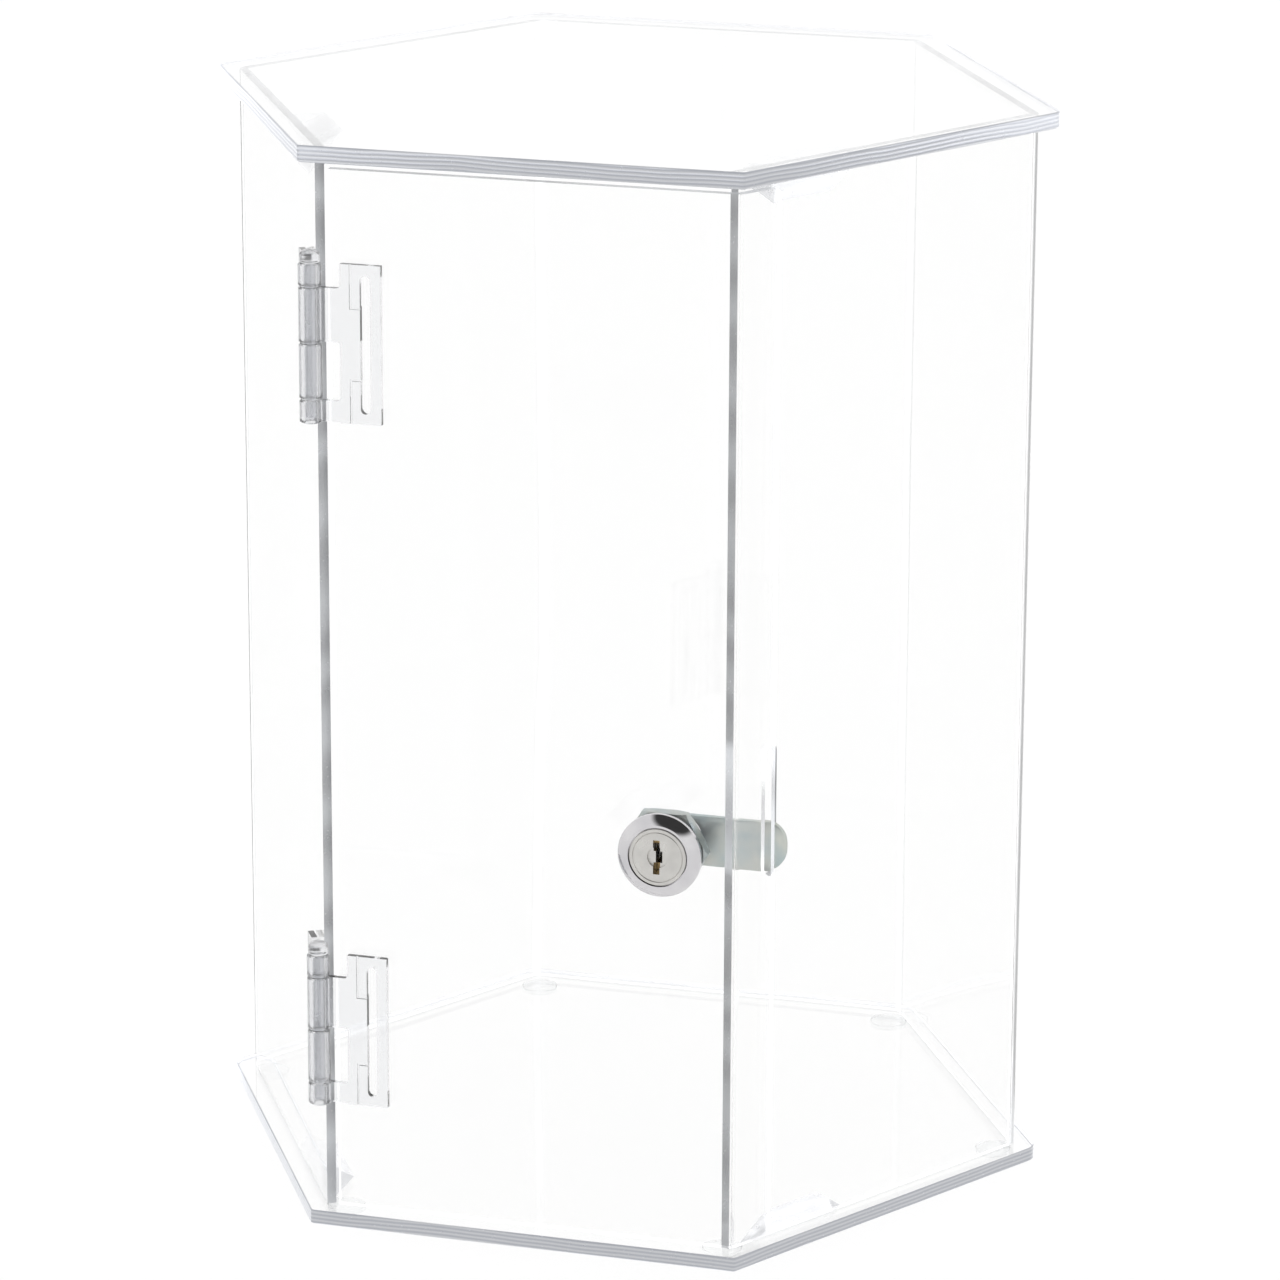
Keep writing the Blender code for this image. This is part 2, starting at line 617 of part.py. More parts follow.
def make_plug(place):
    """The turning core: a head with the keyway, a slotted barrel, and a square tail that drives the cam."""
    face = GAP + BEZEL_HEIGHT
    profile = [(0, face), (PLUG_HEAD_RADIUS, face), (PLUG_HEAD_RADIUS, face - PLUG_HEAD_THICKNESS),
               (PLUG_RADIUS, face - PLUG_HEAD_THICKNESS), (PLUG_RADIUS, HOUSING_REAR), (0, HOUSING_REAR)]
    plug = turned_solid("lock_plug", profile, place, case)
    half = TAIL_SIZE / 2
    tail_end = CAM_REAR + GAP / 2
    tail = flat_solid("lock_tail", [rectangle(-half, half, -half, half)], HOUSING_REAR - tail_end + half,
                      place @ Matrix.Translation((0, 0, tail_end)), cutters)
    join(plug, tail)
    recess_place = place @ Matrix.Translation((0, 0, face - PLUG_RECESS_DEPTH))
    recess = flat_solid("keyway_recess_cutter", [circle(PLUG_RECESS_RADIUS, SMALL_ROUND_STEPS)],
                        2 * PLUG_RECESS_DEPTH, recess_place, cutters)
    keyway = flat_solid("keyway_cutter", [keyway_outline()], KEYWAY_DEPTH + half,
                        place @ Matrix.Translation((0, 0, face - KEYWAY_DEPTH)), cutters)
    tapped = flat_solid("tapped_hole_cutter", [circle(SCREW_RADIUS + GAP, SMALL_ROUND_STEPS)],
                        SCREW_LENGTH + half, place @ Matrix.Translation((0, 0, tail_end - half)), cutters)
    cut(plug, recess, keyway, tapped)
    for index, level in enumerate(wafer_levels(face)):
        room = rectangle(-WAFER_WIDTH / 2 - GAP, WAFER_WIDTH / 2 + GAP, -2 * PLUG_RADIUS, 2 * PLUG_RADIUS)
        slot = flat_solid(f"wafer_slot_cutter_{index}", [room], WAFER_THICKNESS + 2 * GAP,
                          place @ Matrix.Translation((0, 0, level - WAFER_THICKNESS - GAP)), cutters)
        cut(plug, slot)
    plug.data.materials.append(bright_metal("lock_plug"))
    return plug


def keyway_outline():
    """A tall keyway with a step to each side, where the key's own grooves run."""
    half = KEYWAY_HEIGHT / 2
    narrow = KEYWAY_WIDTH / 2
    shift = KEYWAY_STEP
    third = KEYWAY_HEIGHT / 6
    return [(-narrow, -half), (narrow - shift, -half), (narrow - shift, -third), (narrow, -third),
            (narrow, third), (narrow - shift, third), (narrow - shift, half), (-narrow, half),
            (-narrow, third), (-narrow + shift, third), (-narrow + shift, -third), (-narrow, -third)]


def make_wafers(place):
    """Spring wafers, one in each slot of the plug, each with a window that the key passes through."""
    outline = rectangle(-WAFER_WIDTH / 2, WAFER_WIDTH / 2, -WAFER_HEIGHT / 2, WAFER_HEIGHT / 2)
    window = rectangle(-WAFER_WINDOW_WIDTH / 2, WAFER_WINDOW_WIDTH / 2,
                       -WAFER_WINDOW_HEIGHT / 2, WAFER_WINDOW_HEIGHT / 2)
    wafers = []
    for index, level in enumerate(wafer_levels(GAP + BEZEL_HEIGHT), start=1):
        rear = place @ Matrix.Translation((0, 0, level - WAFER_THICKNESS))
        wafer = flat_solid(f"lock_wafer_{index}", [outline, window], WAFER_THICKNESS, rear, case)
        wafer.data.materials.append(material(wafer.name, (0.70, 0.52, 0.27), 0.35, metallic=1.0))
        wafers.append(wafer)
    return wafers


def make_cam_parts(place):
    """The stop washer, the cam, and the screw and washer that hold the cam on the plug's tail."""
    square = TAIL_SIZE / 2 + GAP
    hole = rectangle(-square, square, -square, square)
    stop = flat_solid("stop_washer", [circle(STOP_WASHER_RADIUS), hole], STOP_WASHER_THICKNESS,
                      place @ Matrix.Translation((0, 0, STOP_WASHER_REAR)), case)
    wall_x = (WALL_OUTER + SIN30 * CAM_Y) / COS30
    tip = wall_x + CAM_PROTRUSION - LOCK_X
    half = CAM_WIDTH / 2
    outline = arc((0, 0), half, 90, 270, ARC_STEPS * 2)
    outline += arc((tip - CAM_TIP_RADIUS, -half + CAM_TIP_RADIUS), CAM_TIP_RADIUS, 270, 360, ARC_STEPS)
    outline += arc((tip - CAM_TIP_RADIUS, half - CAM_TIP_RADIUS), CAM_TIP_RADIUS, 0, 90, ARC_STEPS)
    cam = flat_solid("lock_cam", [outline, hole], CAM_THICKNESS,
                     place @ Matrix.Translation((0, 0, CAM_REAR)), case)
    washer_front = CAM_REAR - GAP
    washer_rear = washer_front - SCREW_WASHER_THICKNESS
    washer_outlines = [circle(SCREW_WASHER_RADIUS), circle(SCREW_RADIUS + GAP, SMALL_ROUND_STEPS)]
    washer = flat_solid("cam_washer", washer_outlines, SCREW_WASHER_THICKNESS,
                        place @ Matrix.Translation((0, 0, washer_rear)), case)
    seat = washer_rear - GAP
    end = CAM_REAR + SCREW_LENGTH - GAP
    back = seat - SCREW_HEAD_HEIGHT
    profile = [(0, end), (SCREW_RADIUS, end), (SCREW_RADIUS, seat), (SCREW_HEAD_RADIUS, seat),
               (SCREW_HEAD_RADIUS, back + SCREW_HEAD_CROWN), (SCREW_HEAD_TOP_RADIUS, back), (0, back)]
    screw = turned_solid("cam_screw", profile, place, case, SMALL_ROUND_STEPS)
    half_arm = CROSS_RECESS_WIDTH / 2
    arms = rectangle(-CROSS_RECESS_REACH, CROSS_RECESS_REACH, -half_arm, half_arm)
    behind = Matrix.Translation((0, 0, back - CROSS_RECESS_DEPTH))
    for angle in (0, 90):
        turned = place @ Matrix.Rotation(math.radians(angle), 4, "Z")
        cut(screw, flat_solid(f"cross_recess_cutter_{angle}", [arms], 2 * CROSS_RECESS_DEPTH,
                              turned @ behind, cutters))
    for piece in (stop, cam, washer, screw):
        piece.data.materials.append(zinc(piece.name))
    return [stop, cam, washer, screw]


def make_feet():
    """Six clear discs under the base, one near each corner."""
    bottom = -GAP - FOOT_THICKNESS
    profile = [(0, -GAP), (FOOT_RADIUS, -GAP), (FOOT_RADIUS - FOOT_TAPER, bottom), (0, bottom)]
    corners = {"left": LEFT, "front_left": FRONT_LEFT, "front_right": FRONT_RIGHT, "right": RIGHT,
               "back_right": BACK_RIGHT, "back_left": BACK_LEFT}
    for name, angle in corners.items():
        place = Matrix.Translation(polar(PLATE_RADIUS - FOOT_FROM_CORNER, angle).to_3d())
        foot = turned_solid(f"foot_{name}", profile, place, case, SMALL_ROUND_STEPS)
        foot.data.materials.append(clear_acrylic(foot.name))


def round_shading(objects):
    for item in objects:
        if item.type == "MESH":
            item.data.shade_smooth()
            item.data.set_sharp_from_angle(angle=math.radians(30))


for leftover in list(bpy.data.objects):
    bpy.data.objects.remove(leftover)
case = new_collection("hexagonal_display_case")
cutters = new_collection("cutters")

make_plate("base_plate", 0, BASE_THICKNESS)
make_plate("top_plate", TOP_UNDERSIDE, TOP_THICKNESS)
make_wall_shell()
make_fillet_bars()
make_feet()

door_axis = joint_empty("door_axis", Matrix.Translation(hinge_axis()))
lock_place = frame_at(Vector((LOCK_X, -DOOR_OUTER, LOCK_HEIGHT)), Vector((1, 0, 0)), UP)
lock_axis = joint_empty("lock_axis", lock_place)
hang([lock_axis], door_axis)
hang([make_door(lock_place), make_housing(lock_place), make_nut(lock_place), *make_hinges()], door_axis)
hang([make_plug(lock_place), *make_wafers(lock_place), *make_cam_parts(lock_place)], lock_axis)

round_shading(case.objects)
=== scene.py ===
import json
import math

import bmesh
import bpy
import numpy as np
from mathutils import Matrix, Vector


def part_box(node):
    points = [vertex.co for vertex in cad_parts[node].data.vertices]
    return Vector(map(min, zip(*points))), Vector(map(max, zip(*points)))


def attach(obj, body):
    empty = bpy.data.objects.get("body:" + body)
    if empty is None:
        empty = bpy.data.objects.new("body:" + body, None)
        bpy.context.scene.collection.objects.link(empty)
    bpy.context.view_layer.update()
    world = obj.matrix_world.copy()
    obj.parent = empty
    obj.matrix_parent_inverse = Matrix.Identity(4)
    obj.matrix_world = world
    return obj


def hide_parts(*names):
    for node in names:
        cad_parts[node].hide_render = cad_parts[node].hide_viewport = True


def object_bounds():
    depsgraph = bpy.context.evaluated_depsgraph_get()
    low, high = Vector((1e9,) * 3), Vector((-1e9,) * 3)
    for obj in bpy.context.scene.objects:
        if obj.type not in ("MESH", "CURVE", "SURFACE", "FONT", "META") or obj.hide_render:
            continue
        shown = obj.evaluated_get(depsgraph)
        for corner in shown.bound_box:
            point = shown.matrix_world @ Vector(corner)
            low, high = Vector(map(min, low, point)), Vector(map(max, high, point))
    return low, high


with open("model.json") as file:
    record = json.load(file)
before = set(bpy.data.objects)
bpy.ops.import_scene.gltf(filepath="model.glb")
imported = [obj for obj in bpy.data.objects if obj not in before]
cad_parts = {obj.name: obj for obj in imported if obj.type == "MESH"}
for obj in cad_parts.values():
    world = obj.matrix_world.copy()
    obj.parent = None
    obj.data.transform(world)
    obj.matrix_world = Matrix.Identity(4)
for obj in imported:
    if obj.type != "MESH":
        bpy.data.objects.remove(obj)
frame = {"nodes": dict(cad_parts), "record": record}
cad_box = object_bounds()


# ---- Base plate and top plate ----
# Two hexagons sawn from 4 mm and 4.5 mm cast acrylic, their rims polished and their edges eased. The two
# corners beside the door are nearly sharp, and the others are rounded. The walls are cemented between them.
PLATE_CORNER_RADII = np.array((0.0012, 0.0012, 0.0055, 0.0055, 0.0055, 0.0055))
PLATE_EDGE_EASE = 0.0003
PLATE_CORNER_ANGLES = np.radians((240, 300, 0, 60, 120, 180))
ACRYLIC_IOR = 1.49
ACRYLIC_TINT = (0.991, 0.991, 0.990, 1)
SHADOW_TINT = (0.994, 0.994, 0.994, 1)
# The rim's stripe tones also colour its glow, which is painted light, and a tint darkens them, which is
# painted shade.
RIM_LIGHT = (0.87, 0.885, 0.92, 1)
RIM_DARK = (0.62, 0.64, 0.70, 1)
PLATE_RIM_GLOW = 0.60
PLATE_RIM_PAINTED_SHADE = 0.22
RIM_NORMAL = 0.9
WELD_DISTANCE = 0.000002
HAIRLINE_TURNS_AND_SIZES = ((0.5, 900.0), (2.1, 1300.0))
HAIRLINE_TILT = 0.7
HAIRLINE_STRETCH = (1, 0.02, 1)
MARK_DEPTH = 0.0002
STRIPE_WANDER = 2.4
COS30 = math.cos(math.radians(30))


def rounded_outline(corners, radii, steps=10):
    """Every corner of a polygon becomes an arc that is tangent to both of its sides.

    The arc's centre lies on the corner's bisector at radius / sin(half angle), and its points turn evenly
    from one side's tangent point to the other's. Corners are (k, 2), and the outline is (k * steps, 2).
    """
    corners = np.asarray(corners, float)
    radii = np.broadcast_to(radii, len(corners))[:, None]
    back = np.roll(corners, 1, axis=0) - corners
    ahead = np.roll(corners, -1, axis=0) - corners
    back /= np.linalg.norm(back, axis=1)[:, None]
    ahead /= np.linalg.norm(ahead, axis=1)[:, None]
    half = np.arccos(np.clip((back * ahead).sum(axis=1), -1, 1))[:, None] / 2
    inward = back + ahead
    inward /= np.linalg.norm(inward, axis=1)[:, None]
    center = corners + inward * radii / np.sin(half)
    turn = math.pi - 2 * half
    side = np.sign(back[:, :1] * ahead[:, 1:] - back[:, 1:] * ahead[:, :1])
    angle = -side * turn * (np.linspace(0, 1, steps) - 0.5)
    x = -inward[:, :1] * np.cos(angle) + inward[:, 1:] * np.sin(angle)
    y = -inward[:, 1:] * np.cos(angle) - inward[:, :1] * np.sin(angle)
    points = np.stack((center[:, :1] + radii * x, center[:, 1:] + radii * y), axis=-1)
    return points.reshape(-1, 2)


def ring_surface(rings, closed=False):
    """Rings of equal length joined by quads, as (vertices, faces).

    Point j of ring i joins point j + 1 and the same two points of ring i + 1. A closed surface also joins
    its last ring to its first, and an open one is capped by a flat face at each end.
    """
    count, length = rings.shape[:2]
    rows = np.arange(count if closed else count - 1)[:, None]
    columns = np.arange(length)[None, :]
    next_row = (rows + 1) % count
    next_column = (columns + 1) % length
    quads = np.stack((rows * length + columns, rows * length + next_column,
                      next_row * length + next_column, next_row * length + columns), axis=-1)
    faces = quads.reshape(-1, 4).tolist()
    if not closed:
        faces.append(np.arange(length)[::-1].tolist())
        faces.append((np.arange(length) + (count - 1) * length).tolist())
    return rings.reshape(-1, 3), faces


def level_rings(outlines, levels):
    """Flat (x, y) outlines, each at its own height."""
    return np.array([np.column_stack((flat, np.full(len(flat), level)))
                     for flat, level in zip(outlines, levels)])


def piece_from(name, surfaces, materials, smooth_angle=35):
    """One object from one or more (vertices, faces) surfaces, in place, with its normals facing outwards."""
    vertices, faces, offset = [], [], 0
    for points, polygons in surfaces:
        vertices.append(points)
        faces += [[index + offset for index in polygon] for polygon in polygons]
        offset += len(points)
    mesh = bpy.data.meshes.new(name)
    mesh.from_pydata(np.concatenate(vertices).tolist(), [], faces)
    welded = bmesh.new()
    welded.from_mesh(mesh)
    bmesh.ops.remove_doubles(welded, verts=welded.verts, dist=WELD_DISTANCE)
    bmesh.ops.recalc_face_normals(welded, faces=welded.faces)
    welded.to_mesh(mesh)
    welded.free()
    mesh.shade_smooth()
    mesh.set_sharp_from_angle(angle=math.radians(smooth_angle))
    for item in materials:
        mesh.materials.append(item)
    piece = bpy.data.objects.new(name, mesh)
    bpy.context.scene.collection.objects.link(piece)
    return piece


def shader_group(name, inputs, outputs):
    """An empty node group with the named (name, type, default) inputs and (name, type) outputs."""
    group = bpy.data.node_groups.new(name, "ShaderNodeTree")
    for label, kind, value in inputs:
        socket = group.interface.new_socket(label, in_out="INPUT", socket_type=kind)
        socket.default_value = value
    for label, kind in outputs:
        group.interface.new_socket(label, in_out="OUTPUT", socket_type=kind)
    return group, group.nodes.new("NodeGroupInput"), group.nodes.new("NodeGroupOutput")


def place_node(tree, kind, values=None, **settings):
    """A node with its settings, and plain values or links for its numbered or named inputs."""
    node = tree.nodes.new(kind)
    for key, value in settings.items():
        setattr(node, key, value)
    for key, value in (values or {}).items():
        if isinstance(value, bpy.types.NodeSocket):
            tree.links.new(value, node.inputs[key])
        else:
            node.inputs[key].default_value = value
    return node


def compute(tree, operation, *values):
    """The result of one Math node on numbers or links."""
    return place_node(tree, "ShaderNodeMath", dict(enumerate(values)), operation=operation).outputs[0]


def ramp(tree, value, low, high):
    """A mask that is 0 up to the low value, 1 from the high value on, and straight in between."""
    return place_node(tree, "ShaderNodeMapRange",
                      {"Value": value, "From Min": low, "From Max": high}).outputs[0]


def blend_colors(tree, factor, first, second, blend_type="MIX"):
    """Two colours mixed by a factor."""
    return place_node(tree, "ShaderNodeMix", {"Factor": factor, 6: first, 7: second},
                      data_type="RGBA", blend_type=blend_type).outputs[2]


def principled_material(name):
    """A new material, with its node tree and its Principled shader."""
    made = bpy.data.materials.new(name)
    made.use_nodes = True
    return made, made.node_tree, made.node_tree.nodes["Principled BSDF"]


def make_handling_marks():
    """Broad smudges and fine hairlines: soft noise, plus long thin noise turned two ways."""
    group, given, result = shader_group(
        "handling_marks",
        (("Smudge Size", "NodeSocketFloat", 30.0), ("Base Roughness", "NodeSocketFloat", 0.02),
         ("Smudge Amount", "NodeSocketFloat", 0.03), ("Hairline Amount", "NodeSocketFloat", 0.05)),
        (("Roughness", "NodeSocketFloat"), ("Height", "NodeSocketFloat")))
    place = place_node(group, "ShaderNodeTexCoord").outputs["Object"]
    smudge = place_node(group, "ShaderNodeTexNoise",
                        {"Vector": place, "Scale": given.outputs["Smudge Size"], "Detail": 3.0})
    smudge_mask = ramp(group, smudge.outputs["Fac"], low=0.45, high=0.75)
    lines = []
    for angle, scale in HAIRLINE_TURNS_AND_SIZES:
        turned = place_node(group, "ShaderNodeMapping",
                            {"Vector": place, "Rotation": (angle, angle, HAIRLINE_TILT * angle),
                             "Scale": HAIRLINE_STRETCH})
        thin = place_node(group, "ShaderNodeTexNoise", {"Vector": turned.outputs["Vector"], "Scale": scale})
        lines.append(ramp(group, thin.outputs["Fac"], low=0.68, high=0.74))
    hairline = compute(group, "MAXIMUM", *lines)
    rough = compute(group, "MULTIPLY_ADD", smudge_mask, given.outputs["Smudge Amount"],
                    given.outputs["Base Roughness"])
    rougher = compute(group, "MULTIPLY_ADD", hairline, given.outputs["Hairline Amount"], rough)
    group.links.new(rougher, result.inputs["Roughness"])
    group.links.new(smudge.outputs["Fac"], result.inputs["Height"])
    return group


def make_sawn_stripes():
    """Fine level lines along a rim: the height carries a wave that a long noise breaks up."""
    group, given, result = shader_group(
        "sawn_stripes",
        (("Spacing", "NodeSocketFloat", 0.0009), ("Light", "NodeSocketColor", RIM_LIGHT),
         ("Dark", "NodeSocketColor", RIM_DARK)),
        (("Color", "NodeSocketColor"), ("Height", "NodeSocketFloat")))
    place = place_node(group, "ShaderNodeTexCoord").outputs["Object"]
    level = place_node(group, "ShaderNodeSeparateXYZ", {0: place}).outputs["Z"]
    steps = compute(group, "DIVIDE", level, given.outputs["Spacing"])
    drift = place_node(group, "ShaderNodeTexNoise", {"Vector": place, "Scale": 22.0, "Detail": 2.0})
    phase = compute(group, "MULTIPLY_ADD", drift.outputs["Fac"], STRIPE_WANDER, steps)
    wave = compute(group, "SINE", compute(group, "MULTIPLY", phase, math.tau))
    share = ramp(group, wave, low=-1.0, high=1.0)
    blend = blend_colors(group, share, given.outputs["Dark"], given.outputs["Light"])
    group.links.new(blend, result.inputs["Color"])
    group.links.new(share, result.inputs["Height"])
    return group


handling_marks = make_handling_marks()
sawn_stripes = make_sawn_stripes()


def clear_material(name, tint, ior, marks, relief, stripes=None, glow=0.0, painted_shade_tint=1.0):
    """Clear plastic: glass with surface marks, but see-through to shadow rays and diffuse rays.

    A sawn face has stripes, and glows a little: painted light, an emission that stands in for the light that
    the sheet pipes to its edges. A tint darkens its colour: painted shade, standing in for the dim view
    along the sheet.
    """
    made, tree, shader = principled_material(name)
    shader.inputs["Base Color"].default_value = tint
    shader.inputs["IOR"].default_value = ior
    shader.inputs["Transmission Weight"].default_value = 1.0
    worn = place_node(tree, "ShaderNodeGroup", node_tree=handling_marks)
    for label, value in marks.items():
        worn.inputs[label].default_value = value
    tree.links.new(worn.outputs["Roughness"], shader.inputs["Roughness"])
    height = worn.outputs["Height"]
    if stripes:
        striped = place_node(tree, "ShaderNodeGroup", node_tree=sawn_stripes)
        for label, value in stripes.items():
            striped.inputs[label].default_value = value
        # Painted shade: a tint darkens the stripes' colour.
        painted_shade_stripes = blend_colors(tree, 1.0, striped.outputs["Color"], (painted_shade_tint, painted_shade_tint, painted_shade_tint, 1),
                            "MULTIPLY")
        tree.links.new(painted_shade_stripes, shader.inputs["Base Color"])
        # Painted light: the stripes also glow, though the sheet is no lamp.
        tree.links.new(striped.outputs["Color"], shader.inputs["Emission Color"])
        shader.inputs["Emission Strength"].default_value = glow
        height = striped.outputs["Height"]
    bump = place_node(tree, "ShaderNodeBump", {"Height": height, "Strength": relief, "Distance": MARK_DEPTH})
    tree.links.new(bump.outputs["Normal"], shader.inputs["Normal"])
    path = place_node(tree, "ShaderNodeLightPath")
    passing = compute(tree, "MAXIMUM", path.outputs["Is Shadow Ray"], path.outputs["Is Diffuse Ray"])
    through = place_node(tree, "ShaderNodeBsdfTransparent", {"Color": SHADOW_TINT})
    mix = place_node(tree, "ShaderNodeMixShader", {"Fac": passing, 1: shader.outputs["BSDF"],
                                                   2: through.outputs["BSDF"]})
    tree.links.new(mix.outputs["Shader"], tree.nodes["Material Output"].inputs["Surface"])
    return made


polished_acrylic = clear_material(
    "polished_acrylic", ACRYLIC_TINT, ACRYLIC_IOR,
    {"Smudge Size": 18.0, "Base Roughness": 0.0, "Smudge Amount": 0.012, "Hairline Amount": 0.02},
    relief=0.02)
# The plate rims: sawn stripes, with painted light in their glow and painted shade in their darkened colour.
plate_rim = clear_material(
    "plate_rim", RIM_LIGHT, ACRYLIC_IOR,
    {"Smudge Size": 60.0, "Base Roughness": 0.12, "Smudge Amount": 0.1, "Hairline Amount": 0.2},
    relief=0.15, stripes={"Spacing": 0.0011}, glow=PLATE_RIM_GLOW, painted_shade_tint=PLATE_RIM_PAINTED_SHADE)
for node in ("base_plate", "top_plate"):
    low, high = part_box(node)
    apothem = (high[1] - low[1]) / 2
    outer = np.stack((np.cos(PLATE_CORNER_ANGLES), np.sin(PLATE_CORNER_ANGLES)), axis=1) * apothem / COS30
    outline = rounded_outline(outer, PLATE_CORNER_RADII)
    eased = outline * (1 - PLATE_EDGE_EASE / apothem)
    rings = level_rings((eased, outline, outline, eased),
                        (low[2], low[2] + PLATE_EDGE_EASE, high[2] - PLATE_EDGE_EASE, high[2]))
    plate = piece_from(f"{node}_sheet", [ring_surface(rings)], (polished_acrylic, plate_rim),
                       smooth_angle=30)
    for polygon in plate.data.polygons:
        polygon.material_index = int(abs(polygon.normal.z) < RIM_NORMAL)
    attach(plate, "case")
    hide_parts(node)


# ---- Wall shell ----
# Five walls in one 2.5 mm acrylic sheet, bent hot over a former at four corners. Its ends stop at the door's
# corners, and the end beside the lock has a routed slot, which the cam turns into.
SHEET_THICKNESS = 0.0025
WALL_BEND_RADIUS = 0.004
SLOT_HEIGHT = 0.0367
SLOT_SIDE_CLEARANCE = 0.00087
SLOT_BELOW_CAM = 0.0012
SHARP_ANGLE = 25
BEND_FACE_WIDTH = 0.001
# The sheet ends' glow is painted light, and the tint that darkens them is painted shade.
SHEET_END_LIGHT = (0.80, 0.82, 0.85, 1)
SHEET_END_DARK = (0.55, 0.56, 0.58, 1)
SHEET_END_GLOW = 0.42
SHEET_END_PAINTED_SHADE = 0.22
# The bends are painted: a slightly grey, banded colour and a darkening tint for painted shade, and a glow
# for painted light.
BEND_LIGHT = (0.90, 0.905, 0.91, 1)
BEND_DARK = (0.84, 0.845, 0.85, 1)
BEND_GLOW = 0.45
BEND_PAINTED_SHADE = 0.5
LEVEL_NORMAL = 0.5
END_NORMAL = 0.9
ROUND_END_SHARE = 0.999
LOCK_WALL_ALONG = np.array((0.5, COS30))
LOCK_WALL_OUT = np.array((COS30, -0.5))

# Sheet ends: stripes, with a glow that is painted light and a darkening that is painted shade.
sheet_end = clear_material(
    "sheet_end", SHEET_END_LIGHT, ACRYLIC_IOR,
    {"Smudge Size": 90.0, "Base Roughness": 0.2, "Smudge Amount": 0.1, "Hairline Amount": 0.1},
    relief=0.1, stripes={"Spacing": 0.02, "Light": SHEET_END_LIGHT, "Dark": SHEET_END_DARK},
    glow=SHEET_END_GLOW, painted_shade_tint=SHEET_END_PAINTED_SHADE)
# Bends: painted shade in a slightly grey, banded colour, and painted light in a glow.
sheet_bend = clear_material(
    "sheet_bend", BEND_LIGHT, ACRYLIC_IOR,
    {"Smudge Size": 40.0, "Base Roughness": 0.02, "Smudge Amount": 0.03, "Hairline Amount": 0.02},
    relief=0.05, stripes={"Spacing": 0.05, "Light": BEND_LIGHT, "Dark": BEND_DARK},
    glow=BEND_GLOW, painted_shade_tint=BEND_PAINTED_SHADE)


def bent_path(corners, radius, steps=14):
    """A sheet's centre line: straight runs with an arc of the given radius at each inner corner.

    The closed rounding of all corners is worked out, and each end's arc becomes its own corner again.
    """
    rounded = rounded_outline(corners, radius, steps).reshape(len(corners), steps, 2)
    return np.concatenate((corners[:1], rounded[1:-1].reshape(-1, 2), corners[-1:]))


def sheet_along(path, thickness, bottom, top, name):
    """A sheet that stands on a path: its section runs along the path and back, offset to the left.

    Each point moves along the average of its two neighbouring edges' normals, lengthened by one over the
    cosine of half the turn, so the sheet keeps its thickness around a bend.
    """
    edges = np.diff(path, axis=0)
    edges /= np.linalg.norm(edges, axis=1)[:, None]
    normals = np.stack((-edges[:, 1], edges[:, 0]), axis=1)
    before = np.concatenate((normals[:1], normals))
    after = np.concatenate((normals, normals[-1:]))
    mean = (before + after) / (1 + (before * after).sum(axis=1))[:, None]
    section = np.concatenate((path, (path + mean * thickness)[::-1]))
    rings = level_rings((section, section), (bottom, top))
    made = piece_from(name, [ring_surface(rings)], (polished_acrylic, sheet_end), smooth_angle=30)
    ends = np.array([[*(path[0] - path[1]), 0], [*(path[-1] - path[-2]), 0]])
    ends /= np.linalg.norm(ends, axis=1)[:, None]
    reach = np.array([[*path[0], 0], [*path[-1], 0]])
    for polygon in made.data.polygons:
        normal = np.array(polygon.normal)
        near = np.linalg.norm((np.array(polygon.center) - reach)[:, :2], axis=1) < 2 * thickness
        faces_out = bool((near & (ends @ normal > END_NORMAL)).any())
        polygon.material_index = int(abs(normal[2]) > LEVEL_NORMAL or faces_out)
    return made


def stadium(width, height, steps=12):
    """A long hole's outline around its own centre: a box with corner arcs just under half its width."""
    half = width / 2
    corners = [(-half, -height / 2), (half, -height / 2), (half, height / 2), (-half, height / 2)]
    return rounded_outline(corners, half * ROUND_END_SHARE, steps)


def sheet_router(name, rings):
    """A cutter for a sheet. The faces that it leaves are sheet ends."""
    made = piece_from(name, [ring_surface(rings)], (polished_acrylic, sheet_end))
    for polygon in made.data.polygons:
        polygon.material_index = 1
    return made


def lock_wall_router(name, run, rise, outer):
    """A router for the sheet beside the lock: (run, rise) points, drawn out from inside it to outside it."""
    along = LOCK_WALL_ALONG * run[:, None]
    return sheet_router(name, np.array([np.column_stack((along + LOCK_WALL_OUT * out, rise)) for out in
                                        (outer - 2 * SHEET_THICKNESS, outer + SHEET_THICKNESS)]))


def subtract(piece, cutter):
    """Cuts one closed piece with another, whose faces keep their own material."""
    modifier = piece.modifiers.new("cut", "BOOLEAN")
    modifier.operation = "DIFFERENCE"
    modifier.solver = "EXACT"
    modifier.object = cutter
    bpy.context.view_layer.update()
    cut = bpy.data.meshes.new_from_object(piece.evaluated_get(bpy.context.evaluated_depsgraph_get()))
    piece.modifiers.clear()
    old = piece.data
    cut.name = old.name
    cut.set_sharp_from_angle(angle=math.radians(SHARP_ANGLE))
    piece.data = cut
    bpy.data.meshes.remove(old)
    bpy.data.objects.remove(cutter)


